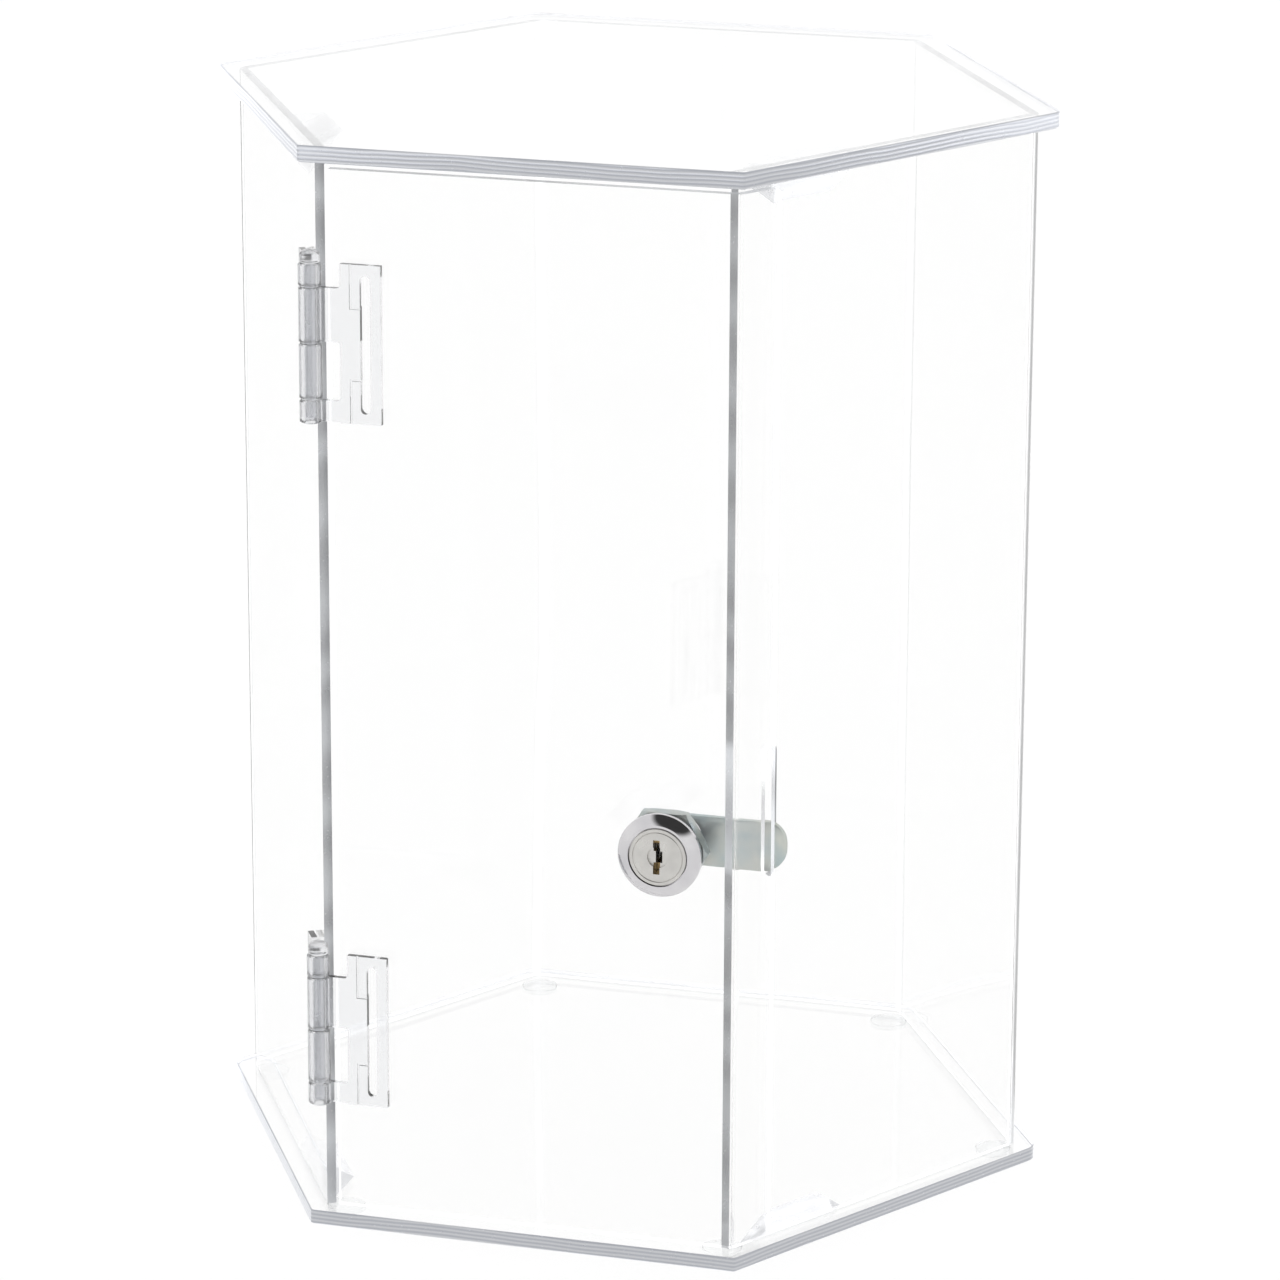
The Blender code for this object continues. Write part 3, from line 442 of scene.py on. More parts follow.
low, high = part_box("wall_shell")
wall_outer = high[1]
wall_angles = np.radians((300, 360, 420, 480, 540, 600))
wall_corners = np.stack((np.cos(wall_angles), np.sin(wall_angles)), axis=1) * wall_outer / COS30
walls = sheet_along(bent_path(wall_corners, WALL_BEND_RADIUS), SHEET_THICKNESS, low[2], high[2],
                    "bent_walls")
cam_low, cam_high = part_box("lock_cam")
cam_depth = (cam_low[1] + cam_high[1]) / 2
slot_width = (cam_high[1] - cam_low[1] + SHEET_THICKNESS / 2) / COS30 + 2 * SLOT_SIDE_CLEARANCE
slot_along = (cam_depth + (wall_outer - SHEET_THICKNESS / 2) / 2) / COS30
slot_level = cam_low[2] - SLOT_BELOW_CAM + SLOT_HEIGHT / 2
hole = stadium(slot_width, SLOT_HEIGHT)
walls.data.materials.append(sheet_bend)
# The narrow upright faces are those of the bends, which take the bend material's painted light and shade.
for polygon in walls.data.polygons:
    if polygon.area < BEND_FACE_WIDTH * (high[2] - low[2]) and abs(polygon.normal.z) < LEVEL_NORMAL:
        polygon.material_index = 2
subtract(walls, lock_wall_router("slot_router", hole[:, 0] + slot_along, hole[:, 1] + slot_level,
                                 wall_outer))
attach(walls, "case")
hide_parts("wall_shell")


# ---- Fillet bars ----
# Four short bars of triangular section, milled from acrylic and cemented in the corners where the walls' two
# free ends meet the plates. Their sawn faces are left a little dull.
# The bars' grey stripe tones are painted shade, and their glow is painted light.
BAR_TINT = (0.95, 0.96, 0.965, 1)
BAR_LIGHT = (0.74, 0.745, 0.76, 1)
BAR_DARK = (0.66, 0.665, 0.68, 1)
BAR_GLOW = 0.16
# Painted light and shade: a grey, striped tint and a glow.
bar_acrylic = clear_material(
    "bar_acrylic", BAR_TINT, ACRYLIC_IOR,
    {"Smudge Size": 120.0, "Base Roughness": 0.08, "Smudge Amount": 0.2, "Hairline Amount": 0.2},
    relief=0.1, stripes={"Spacing": 0.004, "Light": BAR_LIGHT, "Dark": BAR_DARK}, glow=BAR_GLOW)
for level in ("lower", "upper"):
    for side in ("hinge_side", "lock_side"):
        bar = frame["nodes"][f"{level}_fillet_bar_{side}"]
        bar.data.materials.clear()
        bar.data.materials.append(bar_acrylic)


# ---- Feet ----
# Six clear vinyl discs, punched with a slightly tapered edge and stuck under the base plate.
FOOT_EASE = 0.0003
FOOT_TINT = (0.88, 0.895, 0.90, 1)
VINYL_IOR = 1.5
foot_vinyl = clear_material(
    "foot_vinyl", FOOT_TINT, VINYL_IOR,
    {"Smudge Size": 200.0, "Base Roughness": 0.12, "Smudge Amount": 0.15, "Hairline Amount": 0.0},
    relief=0.1)


def turned_rings(profile, center, axis="Z", steps=64):
    """A profile of (radius, level) pairs carried round a vertical axis, or round one that points to -Y.

    At each angle a point stands at the radius times cosine and sine across, and at its level along the axis.
    """
    angles = np.linspace(0, math.tau, steps, endpoint=False)
    radius = np.array(profile, float)[:, :1]
    level = np.repeat(np.array(profile, float)[:, 1:], steps, axis=1)
    across, upward = radius * np.cos(angles), radius * np.sin(angles)
    if axis == "Z":
        rings = np.stack((across, upward, level), axis=-1)
    else:
        rings = np.stack((across, -level, upward), axis=-1)
    return rings + np.array(center)


for name in ("left", "front_left", "front_right", "right", "back_right", "back_left"):
    low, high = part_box(f"foot_{name}")
    center = ((low[0] + high[0]) / 2, (low[1] + high[1]) / 2, 0)
    radius = (high[0] - low[0]) / 2
    profile = ((radius - 2 * FOOT_EASE, low[2]), (radius - FOOT_EASE, low[2] + FOOT_EASE / 2),
               (radius, high[2]))
    foot = piece_from(f"{name}_foot_disc", [ring_surface(turned_rings(profile, center))], (foot_vinyl,))
    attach(foot, "case")
    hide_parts(f"foot_{name}")


# ---- Door ----
# One 2.5 mm acrylic sheet, bent once so that a narrow flange laps the wall beside the lock. It hangs on the
# two hinges, and a double-D hole is routed for the lock.
DOOR_BEND_RADIUS = 0.003
FLANGE_CORNER_RADIUS = 0.0025
LOCK_HOLE_RADIUS = 0.0088
LOCK_HOLE_HALF_FLATS = 0.0078
ROUTER_REACH = 0.001
joints = {joint["name"]: joint for joint in frame["record"]["behaviour"]["joints"]}
lock_center = np.array(joints["lock_turn"]["pos_m"])
hinge_center = np.array(joints["door_swing"]["pos_m"])
low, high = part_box("door_panel")
door_outer = -low[1]
door_bottom, door_top = low[2], high[2]
flange_run = (high[1] + (door_outer - SHEET_THICKNESS) / 2) / COS30
flange_end = LOCK_WALL_OUT * door_outer + LOCK_WALL_ALONG * flange_run
door_corners = np.array(((low[0], -door_outer), (door_outer / COS30 / 2, -door_outer), flange_end))
door = sheet_along(bent_path(door_corners, DOOR_BEND_RADIUS), SHEET_THICKNESS, door_bottom, door_top,
                   "bent_door")


def flange_corner_router(level, side, name):
    """What a rounded corner leaves outside it: a square corner minus a quarter circle, as a short prism."""
    angles = np.linspace(0, math.pi / 2, 12)
    run = np.concatenate((FLANGE_CORNER_RADIUS * (np.cos(angles) - 1),
                          (-FLANGE_CORNER_RADIUS, ROUTER_REACH, ROUTER_REACH)))
    rise = np.concatenate((FLANGE_CORNER_RADIUS * (np.sin(angles) - 1),
                           (ROUTER_REACH, ROUTER_REACH, -FLANGE_CORNER_RADIUS)))
    return lock_wall_router(name, flange_run + run, level + side * rise, door_outer)


def double_d_rings(radius, half_flats, levels, center, steps=96):
    """A circle whose width is clipped to two flats, repeated at each level along the lock's axis."""
    rings = turned_rings([(radius, level) for level in levels], (0, 0, 0), "-Y", steps)
    rings[..., 0] = np.clip(rings[..., 0], -half_flats, half_flats)
    return rings + np.array(center)


subtract(door, flange_corner_router(door_top, 1, "upper_corner_router"))
subtract(door, flange_corner_router(door_bottom, -1, "lower_corner_router"))
hole = double_d_rings(LOCK_HOLE_RADIUS, LOCK_HOLE_HALF_FLATS, (-2 * SHEET_THICKNESS, SHEET_THICKNESS),
                      lock_center)
subtract(door, sheet_router("lock_hole_router", hole))
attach(door, "door")
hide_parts("door_panel")


# ---- Hinges ----
# Two stock butt hinges moulded in clear plastic and cemented on. Each has a leaf on the wall, a leaf on the
# door, four knuckles and a headed pin. A long slot and two L-shaped grooves stiffen and key the leaf.
LEAF_EASE = 0.00015
KNUCKLE_EASE = 0.00035
BARREL_RADIUS = 0.0031
BARREL_BORE = 0.0017
LEAF_THICKNESS = 0.0016
LEAF_OFFSET = 0.0023
LEAF_WIDTH = 0.0191
LEAF_ROOT = 0.0079
LEAF_CORNER = 0.0008
END_KNUCKLE = 0.0061
KNUCKLE_GAP = 0.0003
TAB_INSET = 0.0002
SLOT_WIDTH = 0.0027
SLOT_MARGIN = 0.0028
SLOT_FROM_EDGE = 0.0029
GROOVE_WIDTH = 0.0005
GROOVE_DEPTH = 0.0005
GROOVE_FROM_AXIS = 0.0108
GROOVE_RUN = 0.012
PIN_RADIUS = 0.0014
PIN_HEAD_RADIUS = 0.0027
PIN_HEAD_DOME = 0.0016
PIN_HEAD_POLE = 0.000014
HINGE_TINT = (0.90, 0.905, 0.915, 1)
KNUCKLE_TINT = (0.82, 0.825, 0.84, 1)
HINGE_IOR = 1.53
hinge_plastic = clear_material(
    "hinge_plastic", HINGE_TINT, HINGE_IOR,
    {"Smudge Size": 160.0, "Base Roughness": 0.06, "Smudge Amount": 0.08, "Hairline Amount": 0.05},
    relief=0.12)
knuckle_plastic = clear_material(
    "knuckle_plastic", KNUCKLE_TINT, HINGE_IOR,
    {"Smudge Size": 220.0, "Base Roughness": 0.16, "Smudge Amount": 0.12, "Hairline Amount": 0.05},
    relief=0.2)


def prism(outline, direction, base, start, end):
    """An outline of (run, rise) points, laid along a level direction and drawn out to its left."""
    left = np.array((-direction[1], direction[0], 0))
    along = np.array((*direction, 0))
    flat = base + outline[:, :1] * along + outline[:, 1:] * np.array((0, 0, 1))
    return ring_surface(np.array([flat + left * start, flat + left * end]))


def make_leaf(name, node, body, direction, own_knuckles, outward):
    """A leaf plate with eased edges, cut by its slot and grooves, and the leaf's own two knuckles."""
    low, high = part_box(node)
    bottom, height = low[2], high[2] - low[2]
    base = np.array((hinge_center[0], hinge_center[1], bottom))
    middle = (height - 2 * END_KNUCKLE - 3 * KNUCKLE_GAP) / 2
    lengths = np.array((END_KNUCKLE, middle, middle, END_KNUCKLE))
    starts = np.concatenate(((0,), np.cumsum(lengths + KNUCKLE_GAP)[:-1]))
    corners = [(LEAF_WIDTH, 0), (LEAF_WIDTH, height), (LEAF_ROOT, height)]
    sharp = LEAF_EASE / 4
    radii = [LEAF_EASE, LEAF_EASE, LEAF_EASE]
    for index in own_knuckles:
        top = starts[index] + lengths[index] - TAB_INSET
        foot = starts[index] + TAB_INSET
        corners += [(LEAF_ROOT, top), (BARREL_BORE, top), (BARREL_BORE, foot), (LEAF_ROOT, foot)]
        radii += [LEAF_CORNER if index < 3 else sharp, sharp, sharp, LEAF_CORNER if index > 0 else sharp]
    corners.append((LEAF_ROOT, 0))
    radii.append(sharp)
    outline = rounded_outline(corners, np.array(radii), steps=6)
    inner, outer = -LEAF_OFFSET * outward, (LEAF_THICKNESS - LEAF_OFFSET) * outward
    plate = piece_from(name, [prism(outline, direction, base, inner, outer)], (hinge_plastic,),
                       smooth_angle=40)
    slot_run = LEAF_WIDTH - SLOT_FROM_EDGE - SLOT_WIDTH / 2
    slot = stadium(SLOT_WIDTH, height - 2 * SLOT_MARGIN) + np.array((slot_run, height / 2))
    near, far = GROOVE_FROM_AXIS - GROOVE_WIDTH / 2, GROOVE_FROM_AXIS + GROOVE_WIDTH / 2
    foot = height - GROOVE_RUN
    groove = np.array(((near, height + GROOVE_WIDTH), (near, foot), (slot_run, foot),
                       (slot_run, foot + GROOVE_WIDTH), (far, foot + GROOVE_WIDTH),
                       (far, height + GROOVE_WIDTH)))
    mirrored = groove * (1, -1) + (0, height)
    reach = LEAF_THICKNESS * outward
    subtract(plate, piece_from("slot_cutter", [prism(slot, direction, base, inner - reach, outer + reach)],
                               (hinge_plastic,)))
    for shape in (groove, mirrored):
        cutter = prism(shape, direction, base, outer - GROOVE_DEPTH * outward, outer + reach)
        subtract(plate, piece_from("groove_cutter", [cutter], (hinge_plastic,)))
    knuckles = []
    for index in own_knuckles:
        start, end = starts[index], starts[index] + lengths[index]
        profile = ((BARREL_BORE, end), (BARREL_RADIUS - KNUCKLE_EASE, end),
                   (BARREL_RADIUS, end - KNUCKLE_EASE), (BARREL_RADIUS, start + KNUCKLE_EASE),
                   (BARREL_RADIUS - KNUCKLE_EASE, start), (BARREL_BORE, start))
        knuckles.append(ring_surface(turned_rings(profile, base, steps=48), closed=True))
    barrel = piece_from(f"{name}_knuckles", knuckles, (knuckle_plastic,), smooth_angle=40)
    for piece in (plate, barrel):
        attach(piece, body)
    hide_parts(node)


for level in ("lower", "upper"):
    make_leaf(f"{level}_wall_leaf", f"{level}_hinge_wall_leaf", "case", (-0.5, COS30), (3, 1), 1)
    make_leaf(f"{level}_door_leaf", f"{level}_hinge_door_leaf", "door", (1, 0), (2, 0), -1)
    low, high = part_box(f"{level}_hinge_pin")
    side = high[2] - PIN_HEAD_DOME
    leaf_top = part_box(f"{level}_hinge_wall_leaf")[1][2] + KNUCKLE_GAP
    turn = np.linspace(math.pi / 2, 0, 10)
    dome = np.stack((PIN_HEAD_RADIUS * np.cos(turn), side + PIN_HEAD_DOME * np.sin(turn)), axis=1)
    dome[0, 0] = PIN_HEAD_POLE
    profile = np.concatenate((dome, ((PIN_HEAD_RADIUS, leaf_top), (PIN_RADIUS, leaf_top),
                                     (PIN_RADIUS, low[2]))))
    center = (hinge_center[0], hinge_center[1], 0)
    pin = piece_from(f"{level}_headed_pin", [ring_surface(turned_rings(profile, center, steps=48))],
                     (knuckle_plastic,))
    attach(pin, "case")
    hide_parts(f"{level}_hinge_pin")


# ---- Cam lock: housing ----
# A die-cast body with a bevelled, bright-plated bezel. Its barrel is threaded and has two milled flats,
# which the door's double-D hole keeps from turning.
BEZEL_RADIUS = 0.0114
BEZEL_FACE_RADIUS = 0.00875
BEZEL_RIM = 0.0014
BEZEL_EASE = 0.00025
SEAT_GAP = 0.0003
HOUSING_RADIUS = 0.0085
HOUSING_HALF_FLATS = 0.0075
THREAD_PITCH = 0.00125
THREAD_DEPTH = 0.0006
PLUG_RADIUS = 0.0060
PLUG_HEAD_RADIUS = 0.00785
PLUG_HEAD_THICKNESS = 0.0011
LOCK_STEPS = 120
THREAD_LEVELS = 96
GRAIN_DEPTH = 0.00002


def make_plating_haze():
    """Plated metal's uneven colour and polish: cloudy noise mixes two tones and adds to the roughness."""
    group, given, result = shader_group(
        "plating_haze",
        (("Tone", "NodeSocketColor", (0.8, 0.8, 0.8, 1)),
         ("Second Tone", "NodeSocketColor", (0.7, 0.7, 0.7, 1)),
         ("Cloud Size", "NodeSocketFloat", 150.0), ("Base Roughness", "NodeSocketFloat", 0.1),
         ("Roughness Spread", "NodeSocketFloat", 0.1), ("Grain Size", "NodeSocketFloat", 4000.0)),
        (("Color", "NodeSocketColor"), ("Roughness", "NodeSocketFloat"), ("Height", "NodeSocketFloat")))
    place = place_node(group, "ShaderNodeTexCoord").outputs["Object"]
    cloud = place_node(group, "ShaderNodeTexNoise",
                       {"Vector": place, "Scale": given.outputs["Cloud Size"], "Detail": 4.0})
    share = ramp(group, cloud.outputs["Fac"], low=0.35, high=0.65)
    tone = blend_colors(group, share, given.outputs["Tone"], given.outputs["Second Tone"])
    rough = compute(group, "MULTIPLY_ADD", share, given.outputs["Roughness Spread"],
                    given.outputs["Base Roughness"])
    grain = place_node(group, "ShaderNodeTexNoise", {"Vector": place, "Scale": given.outputs["Grain Size"]})
    group.links.new(tone, result.inputs["Color"])
    group.links.new(rough, result.inputs["Roughness"])
    group.links.new(grain.outputs["Fac"], result.inputs["Height"])
    return group


def make_lathe_rings():
    """Fine rings round the lock's axis: a wave of the distance from the axis, measured square to it."""
    group, given, result = shader_group(
        "lathe_rings",
        (("Center", "NodeSocketVector", (0, 0, 0)), ("Spacing", "NodeSocketFloat", 0.0002)),
        (("Height", "NodeSocketFloat"),))
    place = place_node(group, "ShaderNodeTexCoord").outputs["Object"]
    offset = place_node(group, "ShaderNodeVectorMath", {0: place, 1: given.outputs["Center"]},
                        operation="SUBTRACT")
    square = place_node(group, "ShaderNodeVectorMath", {0: offset.outputs[0], 1: (1, 0, 1)},
                        operation="MULTIPLY")
    distance = place_node(group, "ShaderNodeVectorMath", {0: square.outputs[0]}, operation="LENGTH")
    turns = compute(group, "DIVIDE", distance.outputs["Value"], given.outputs["Spacing"])
    wave = compute(group, "SINE", compute(group, "MULTIPLY", turns, math.tau))
    group.links.new(wave, result.inputs["Height"])
    return group


plating_haze = make_plating_haze()
lathe_rings = make_lathe_rings()


def plated_metal(name, haze, relief, ring_spacing=None):
    """A plated metal: the haze sets colour and polish, and its grain or the lathe's rings set the relief."""
    made, tree, shader = principled_material(name)
    shader.inputs["Metallic"].default_value = 1.0
    clouds = place_node(tree, "ShaderNodeGroup", node_tree=plating_haze)
    for label, value in haze.items():
        clouds.inputs[label].default_value = value
    tree.links.new(clouds.outputs["Color"], shader.inputs["Base Color"])
    tree.links.new(clouds.outputs["Roughness"], shader.inputs["Roughness"])
    height = clouds.outputs["Height"]
    if ring_spacing:
        rings = place_node(tree, "ShaderNodeGroup", node_tree=lathe_rings)
        rings.inputs["Center"].default_value = lock_center
        rings.inputs["Spacing"].default_value = ring_spacing
        height = rings.outputs["Height"]
    bump = place_node(tree, "ShaderNodeBump",
                      {"Height": height, "Strength": relief, "Distance": GRAIN_DEPTH})
    tree.links.new(bump.outputs["Normal"], shader.inputs["Normal"])
    return made


bright_nickel = plated_metal(
    "bright_nickel", {"Tone": (0.66, 0.65, 0.66, 1), "Second Tone": (0.56, 0.55, 0.57, 1),
                      "Cloud Size": 90.0, "Base Roughness": 0.07, "Roughness Spread": 0.05}, relief=0.03)
low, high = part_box("lock_housing")
face_level = lock_center[1] - low[1]
rear_level = lock_center[1] - high[1]
seat_level = face_level - PLUG_HEAD_THICKNESS - SEAT_GAP
bezel = turned_rings(((PLUG_HEAD_RADIUS + SEAT_GAP, face_level),
                      (BEZEL_FACE_RADIUS - BEZEL_EASE, face_level),
                      (BEZEL_FACE_RADIUS, face_level - BEZEL_EASE / 3),
                      (BEZEL_RADIUS - BEZEL_EASE / 2, SEAT_GAP + BEZEL_RIM + BEZEL_EASE / 2),
                      (BEZEL_RADIUS, SEAT_GAP + BEZEL_RIM), (BEZEL_RADIUS, SEAT_GAP + BEZEL_EASE),
                      (BEZEL_RADIUS - BEZEL_EASE, SEAT_GAP)), lock_center, "-Y", LOCK_STEPS)
levels = np.linspace(SEAT_GAP, rear_level, THREAD_LEVELS)[:, None]
angles = np.linspace(0, math.tau, LOCK_STEPS, endpoint=False)[None, :]
turns = (levels / THREAD_PITCH - angles / math.tau) % 1
# The helix is a radius that falls and rises once per pitch, and starts one turn later with each turn.
thread_radius = HOUSING_RADIUS - THREAD_DEPTH * np.abs(2 * turns - 1)
thread = np.stack((np.clip(thread_radius * np.cos(angles), -HOUSING_HALF_FLATS, HOUSING_HALF_FLATS),
                   np.broadcast_to(-levels, thread_radius.shape), thread_radius * np.sin(angles)), axis=-1)
bore = turned_rings(((PLUG_RADIUS + SEAT_GAP, rear_level), (PLUG_RADIUS + SEAT_GAP, seat_level),
                     (PLUG_HEAD_RADIUS + SEAT_GAP, seat_level)), lock_center, "-Y", LOCK_STEPS)
rings = np.concatenate((bezel, thread + lock_center, bore))
housing = piece_from("bezelled_housing", [ring_surface(rings, closed=True)], (bright_nickel,),
                     smooth_angle=25)
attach(housing, "door")
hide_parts("lock_housing")


# ---- Cam lock: nut ----
# A zinc-plated hexagon nut with chamfered corners, which clamps the housing against the door's inner face.
NUT_APOTHEM = 0.0105
NUT_CHAMFER_START = 1.05
NUT_CHAMFER_SLOPE = 1.6
NUT_LEVELS_IN = np.array((0, 0.00012, 0.0003, 0.0007, 0.0014))
zinc_plate = plated_metal(
    "zinc_plate", {"Tone": (0.36, 0.43, 0.47, 1), "Second Tone": (0.47, 0.49, 0.46, 1), "Cloud Size": 160.0,
                   "Base Roughness": 0.22, "Roughness Spread": 0.16, "Grain Size": 2500.0}, relief=0.25)
low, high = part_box("lock_nut")
front, rear = lock_center[1] - low[1], lock_center[1] - high[1]
levels = np.concatenate((front - NUT_LEVELS_IN, (rear + NUT_LEVELS_IN)[::-1]))[:, None]
angles = np.linspace(0, math.tau, LOCK_STEPS, endpoint=False)[None, :]
hexagon = NUT_APOTHEM / np.cos(angles % math.radians(60) - math.radians(30))
cone = NUT_APOTHEM * NUT_CHAMFER_START + NUT_CHAMFER_SLOPE * np.minimum(front - levels, levels - rear)
radius = np.minimum(hexagon, cone)
outer = np.stack((radius * np.cos(angles), np.broadcast_to(-levels, radius.shape),
                  radius * np.sin(angles)), axis=-1)
inner = turned_rings(((HOUSING_RADIUS + SEAT_GAP, rear), (HOUSING_RADIUS + SEAT_GAP, front)),
                     lock_center, "-Y", LOCK_STEPS)
nut = piece_from("chamfered_nut", [ring_surface(np.concatenate((outer + lock_center, inner)), closed=True)],
                 (zinc_plate,), smooth_angle=25)
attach(nut, "door")
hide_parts("lock_nut")


# ---- Cam lock: plug and wafers ----
# The turning core is satin-faced brass stock, nickel plated, with a keyway and five sprung brass wafers. A
# square tail at its back carries the cam.
PLUG_EASE = 0.00012
FACE_GROOVE_RADIUS = 0.0067
FACE_GROOVE_WIDTH = 0.00025
RECESS_RADIUS = 0.00285
RECESS_DEPTH = 0.0006
KEYWAY_HALF_WIDTH = 0.0012
KEYWAY_HALF_HEIGHT = 0.0047
KEYWAY_STEP = 0.0006
KEYWAY_DEPTH = 0.0122
TAIL_HALF = 0.0035
TAIL_EASE = 0.0003
TAIL_JOIN_GAP = 0.00003
PLUG_RING_SPACING = 0.00022
satin_nickel = plated_metal(
    "satin_nickel", {"Tone": (0.60, 0.59, 0.565, 1), "Second Tone": (0.54, 0.53, 0.51, 1),
                     "Cloud Size": 220.0, "Base Roughness": 0.26, "Roughness Spread": 0.08},
    relief=0.35, ring_spacing=PLUG_RING_SPACING)
brass = plated_metal(
    "wafer_brass", {"Tone": (0.62, 0.45, 0.22, 1), "Second Tone": (0.50, 0.36, 0.18, 1), "Cloud Size": 300.0,
                    "Base Roughness": 0.3, "Roughness Spread": 0.15}, relief=0.1)


def lock_rings(outlines, levels):
    """Outlines of (across, up) points round the lock's axis, each at its own level along it."""
    rings = [np.column_stack((flat[:, 0], np.full(len(flat), -level), flat[:, 1]))
             for flat, level in zip(outlines, levels)]
    return np.array(rings) + lock_center


def lock_prism(outline, start, end):
    """One outline round the lock's axis, drawn out between two levels."""
    flat = np.asarray(outline, float)
    return ring_surface(lock_rings((flat, flat), (start, end)))


def box_outline(half_width, half_height):
    """A rectangle's four corners around its own centre."""
    return ((-half_width, -half_height), (half_width, -half_height), (half_width, half_height),
            (-half_width, half_height))


low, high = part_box("lock_plug")
tail_level = lock_center[1] - high[1]
groove_edge = FACE_GROOVE_RADIUS + FACE_GROOVE_WIDTH
profile = ((FACE_GROOVE_RADIUS, face_level),
           (FACE_GROOVE_RADIUS + FACE_GROOVE_WIDTH / 2, face_level - PLUG_EASE),
           (groove_edge, face_level), (PLUG_HEAD_RADIUS - PLUG_EASE, face_level),
           (PLUG_HEAD_RADIUS, face_level - PLUG_EASE), (PLUG_HEAD_RADIUS, face_level - PLUG_HEAD_THICKNESS),
           (PLUG_RADIUS, face_level - PLUG_HEAD_THICKNESS), (PLUG_RADIUS, rear_level))
plug = piece_from("keyed_plug", [ring_surface(turned_rings(profile, lock_center, "-Y", LOCK_STEPS))],
                  (satin_nickel,), smooth_angle=25)
angles = np.linspace(0, math.tau, 48, endpoint=False)
recess = np.stack((np.cos(angles), np.sin(angles)), axis=1) * RECESS_RADIUS
cutter = lock_prism(recess, face_level - RECESS_DEPTH, face_level + RECESS_DEPTH)
subtract(plug, piece_from("recess_cutter", [cutter], (satin_nickel,)))
wide, tall = KEYWAY_HALF_WIDTH, KEYWAY_HALF_HEIGHT
narrow, jog = KEYWAY_HALF_WIDTH - KEYWAY_STEP, KEYWAY_HALF_HEIGHT / 3
keyway = ((-wide, -tall), (narrow, -tall), (narrow, -jog), (wide, -jog), (wide, jog), (narrow, jog),
          (narrow, tall), (-wide, tall), (-wide, jog), (-narrow, jog), (-narrow, -jog), (-wide, -jog))
cutter = lock_prism(keyway, face_level - KEYWAY_DEPTH, face_level + RECESS_DEPTH)
subtract(plug, piece_from("keyway_cutter", [cutter], (satin_nickel,)))
for index in range(1, 6):
    wafer_low, wafer_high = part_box(f"lock_wafer_{index}")
    half_width = (wafer_high[0] - wafer_low[0]) / 2 + SEAT_GAP
    room = box_outline(half_width, 2 * PLUG_RADIUS)
    front = lock_center[1] - wafer_low[1] + SEAT_GAP
    rear = lock_center[1] - wafer_high[1] - SEAT_GAP
    subtract(plug, piece_from("wafer_cutter", [lock_prism(room, rear, front)], (satin_nickel,)))
    wafer = frame["nodes"][f"lock_wafer_{index}"]
    wafer.data.materials.clear()
    wafer.data.materials.append(brass)
tail_outline = rounded_outline(box_outline(TAIL_HALF, TAIL_HALF), TAIL_EASE, steps=4)
tail = piece_from("square_tail", [lock_prism(tail_outline, tail_level, rear_level + TAIL_JOIN_GAP)],
                  (satin_nickel,))
for piece in (plug, tail):
    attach(piece, "lock_core")
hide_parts("lock_plug")


# ---- Cam lock: stop washer, cam, screw and its washer ----
# Pressed and zinc-plated steel. The cam is a 2 mm bar with a round end behind the lock and a tip that
# reaches through the wall's slot. A cross-head screw holds the stack on the plug's tail.
CAM_TIP_RADIUS = 0.006
CAM_EASE = 0.00025
SQUARE_HOLE_HALF = 0.0038
SQUARE_HOLE_CORNER = 0.0004
SCREW_RADIUS = 0.0019
CROSS_REACH = 0.0025
CROSS_HALF_WIDTH = 0.0005
CROSS_DEPTH = 0.0011
CROWN_SHARE = 0.7
CROWN_POLE_SHARE = 0.001
SMALLEST_LENGTH = 1e-9
PLATE_STEPS = 24
cam_zinc = plated_metal(
    "cam_zinc", {"Tone": (0.34, 0.43, 0.46, 1), "Second Tone": (0.56, 0.58, 0.54, 1), "Cloud Size": 110.0,
                 "Base Roughness": 0.3, "Roughness Spread": 0.14, "Grain Size": 1800.0}, relief=0.3)


def inset(outline, amount):
    """Every point moves in along the average of the normals of its two edges."""
    edges = np.roll(outline, -1, axis=0) - outline
    edges /= np.maximum(np.linalg.norm(edges, axis=1), SMALLEST_LENGTH)[:, None]
    normals = np.stack((-edges[:, 1], edges[:, 0]), axis=1)
    mean = normals + np.roll(normals, 1, axis=0)
    return outline + amount * mean / np.maximum(np.linalg.norm(mean, axis=1), SMALLEST_LENGTH)[:, None]


def pressed_plate(outer, inner, node, ease):
    """A flat pressing with eased edges and one hole, whose two outlines have the same number of points."""
    low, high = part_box(node)
    front, rear = lock_center[1] - low[1], lock_center[1] - high[1]
    small = inset(outer, ease)
    return ring_surface(lock_rings((inner, small, outer, outer, small, inner),
                                   (rear, rear, rear + ease, front - ease, front, front)), closed=True)


half = (cam_high[2] - cam_low[2]) / 2
tip = cam_high[0] - lock_center[0]
round_end = half * ROUND_END_SHARE
cam_outline = rounded_outline(((-half, -half), (tip, -half), (tip, half), (-half, half)),
                              np.array((round_end, CAM_TIP_RADIUS, CAM_TIP_RADIUS, round_end)), PLATE_STEPS)
square_hole = rounded_outline(box_outline(SQUARE_HOLE_HALF, SQUARE_HOLE_HALF), SQUARE_HOLE_CORNER,
                              PLATE_STEPS)
cam = piece_from("pressed_cam", [pressed_plate(cam_outline, square_hole, "lock_cam", CAM_EASE)],
                 (cam_zinc,), smooth_angle=50)
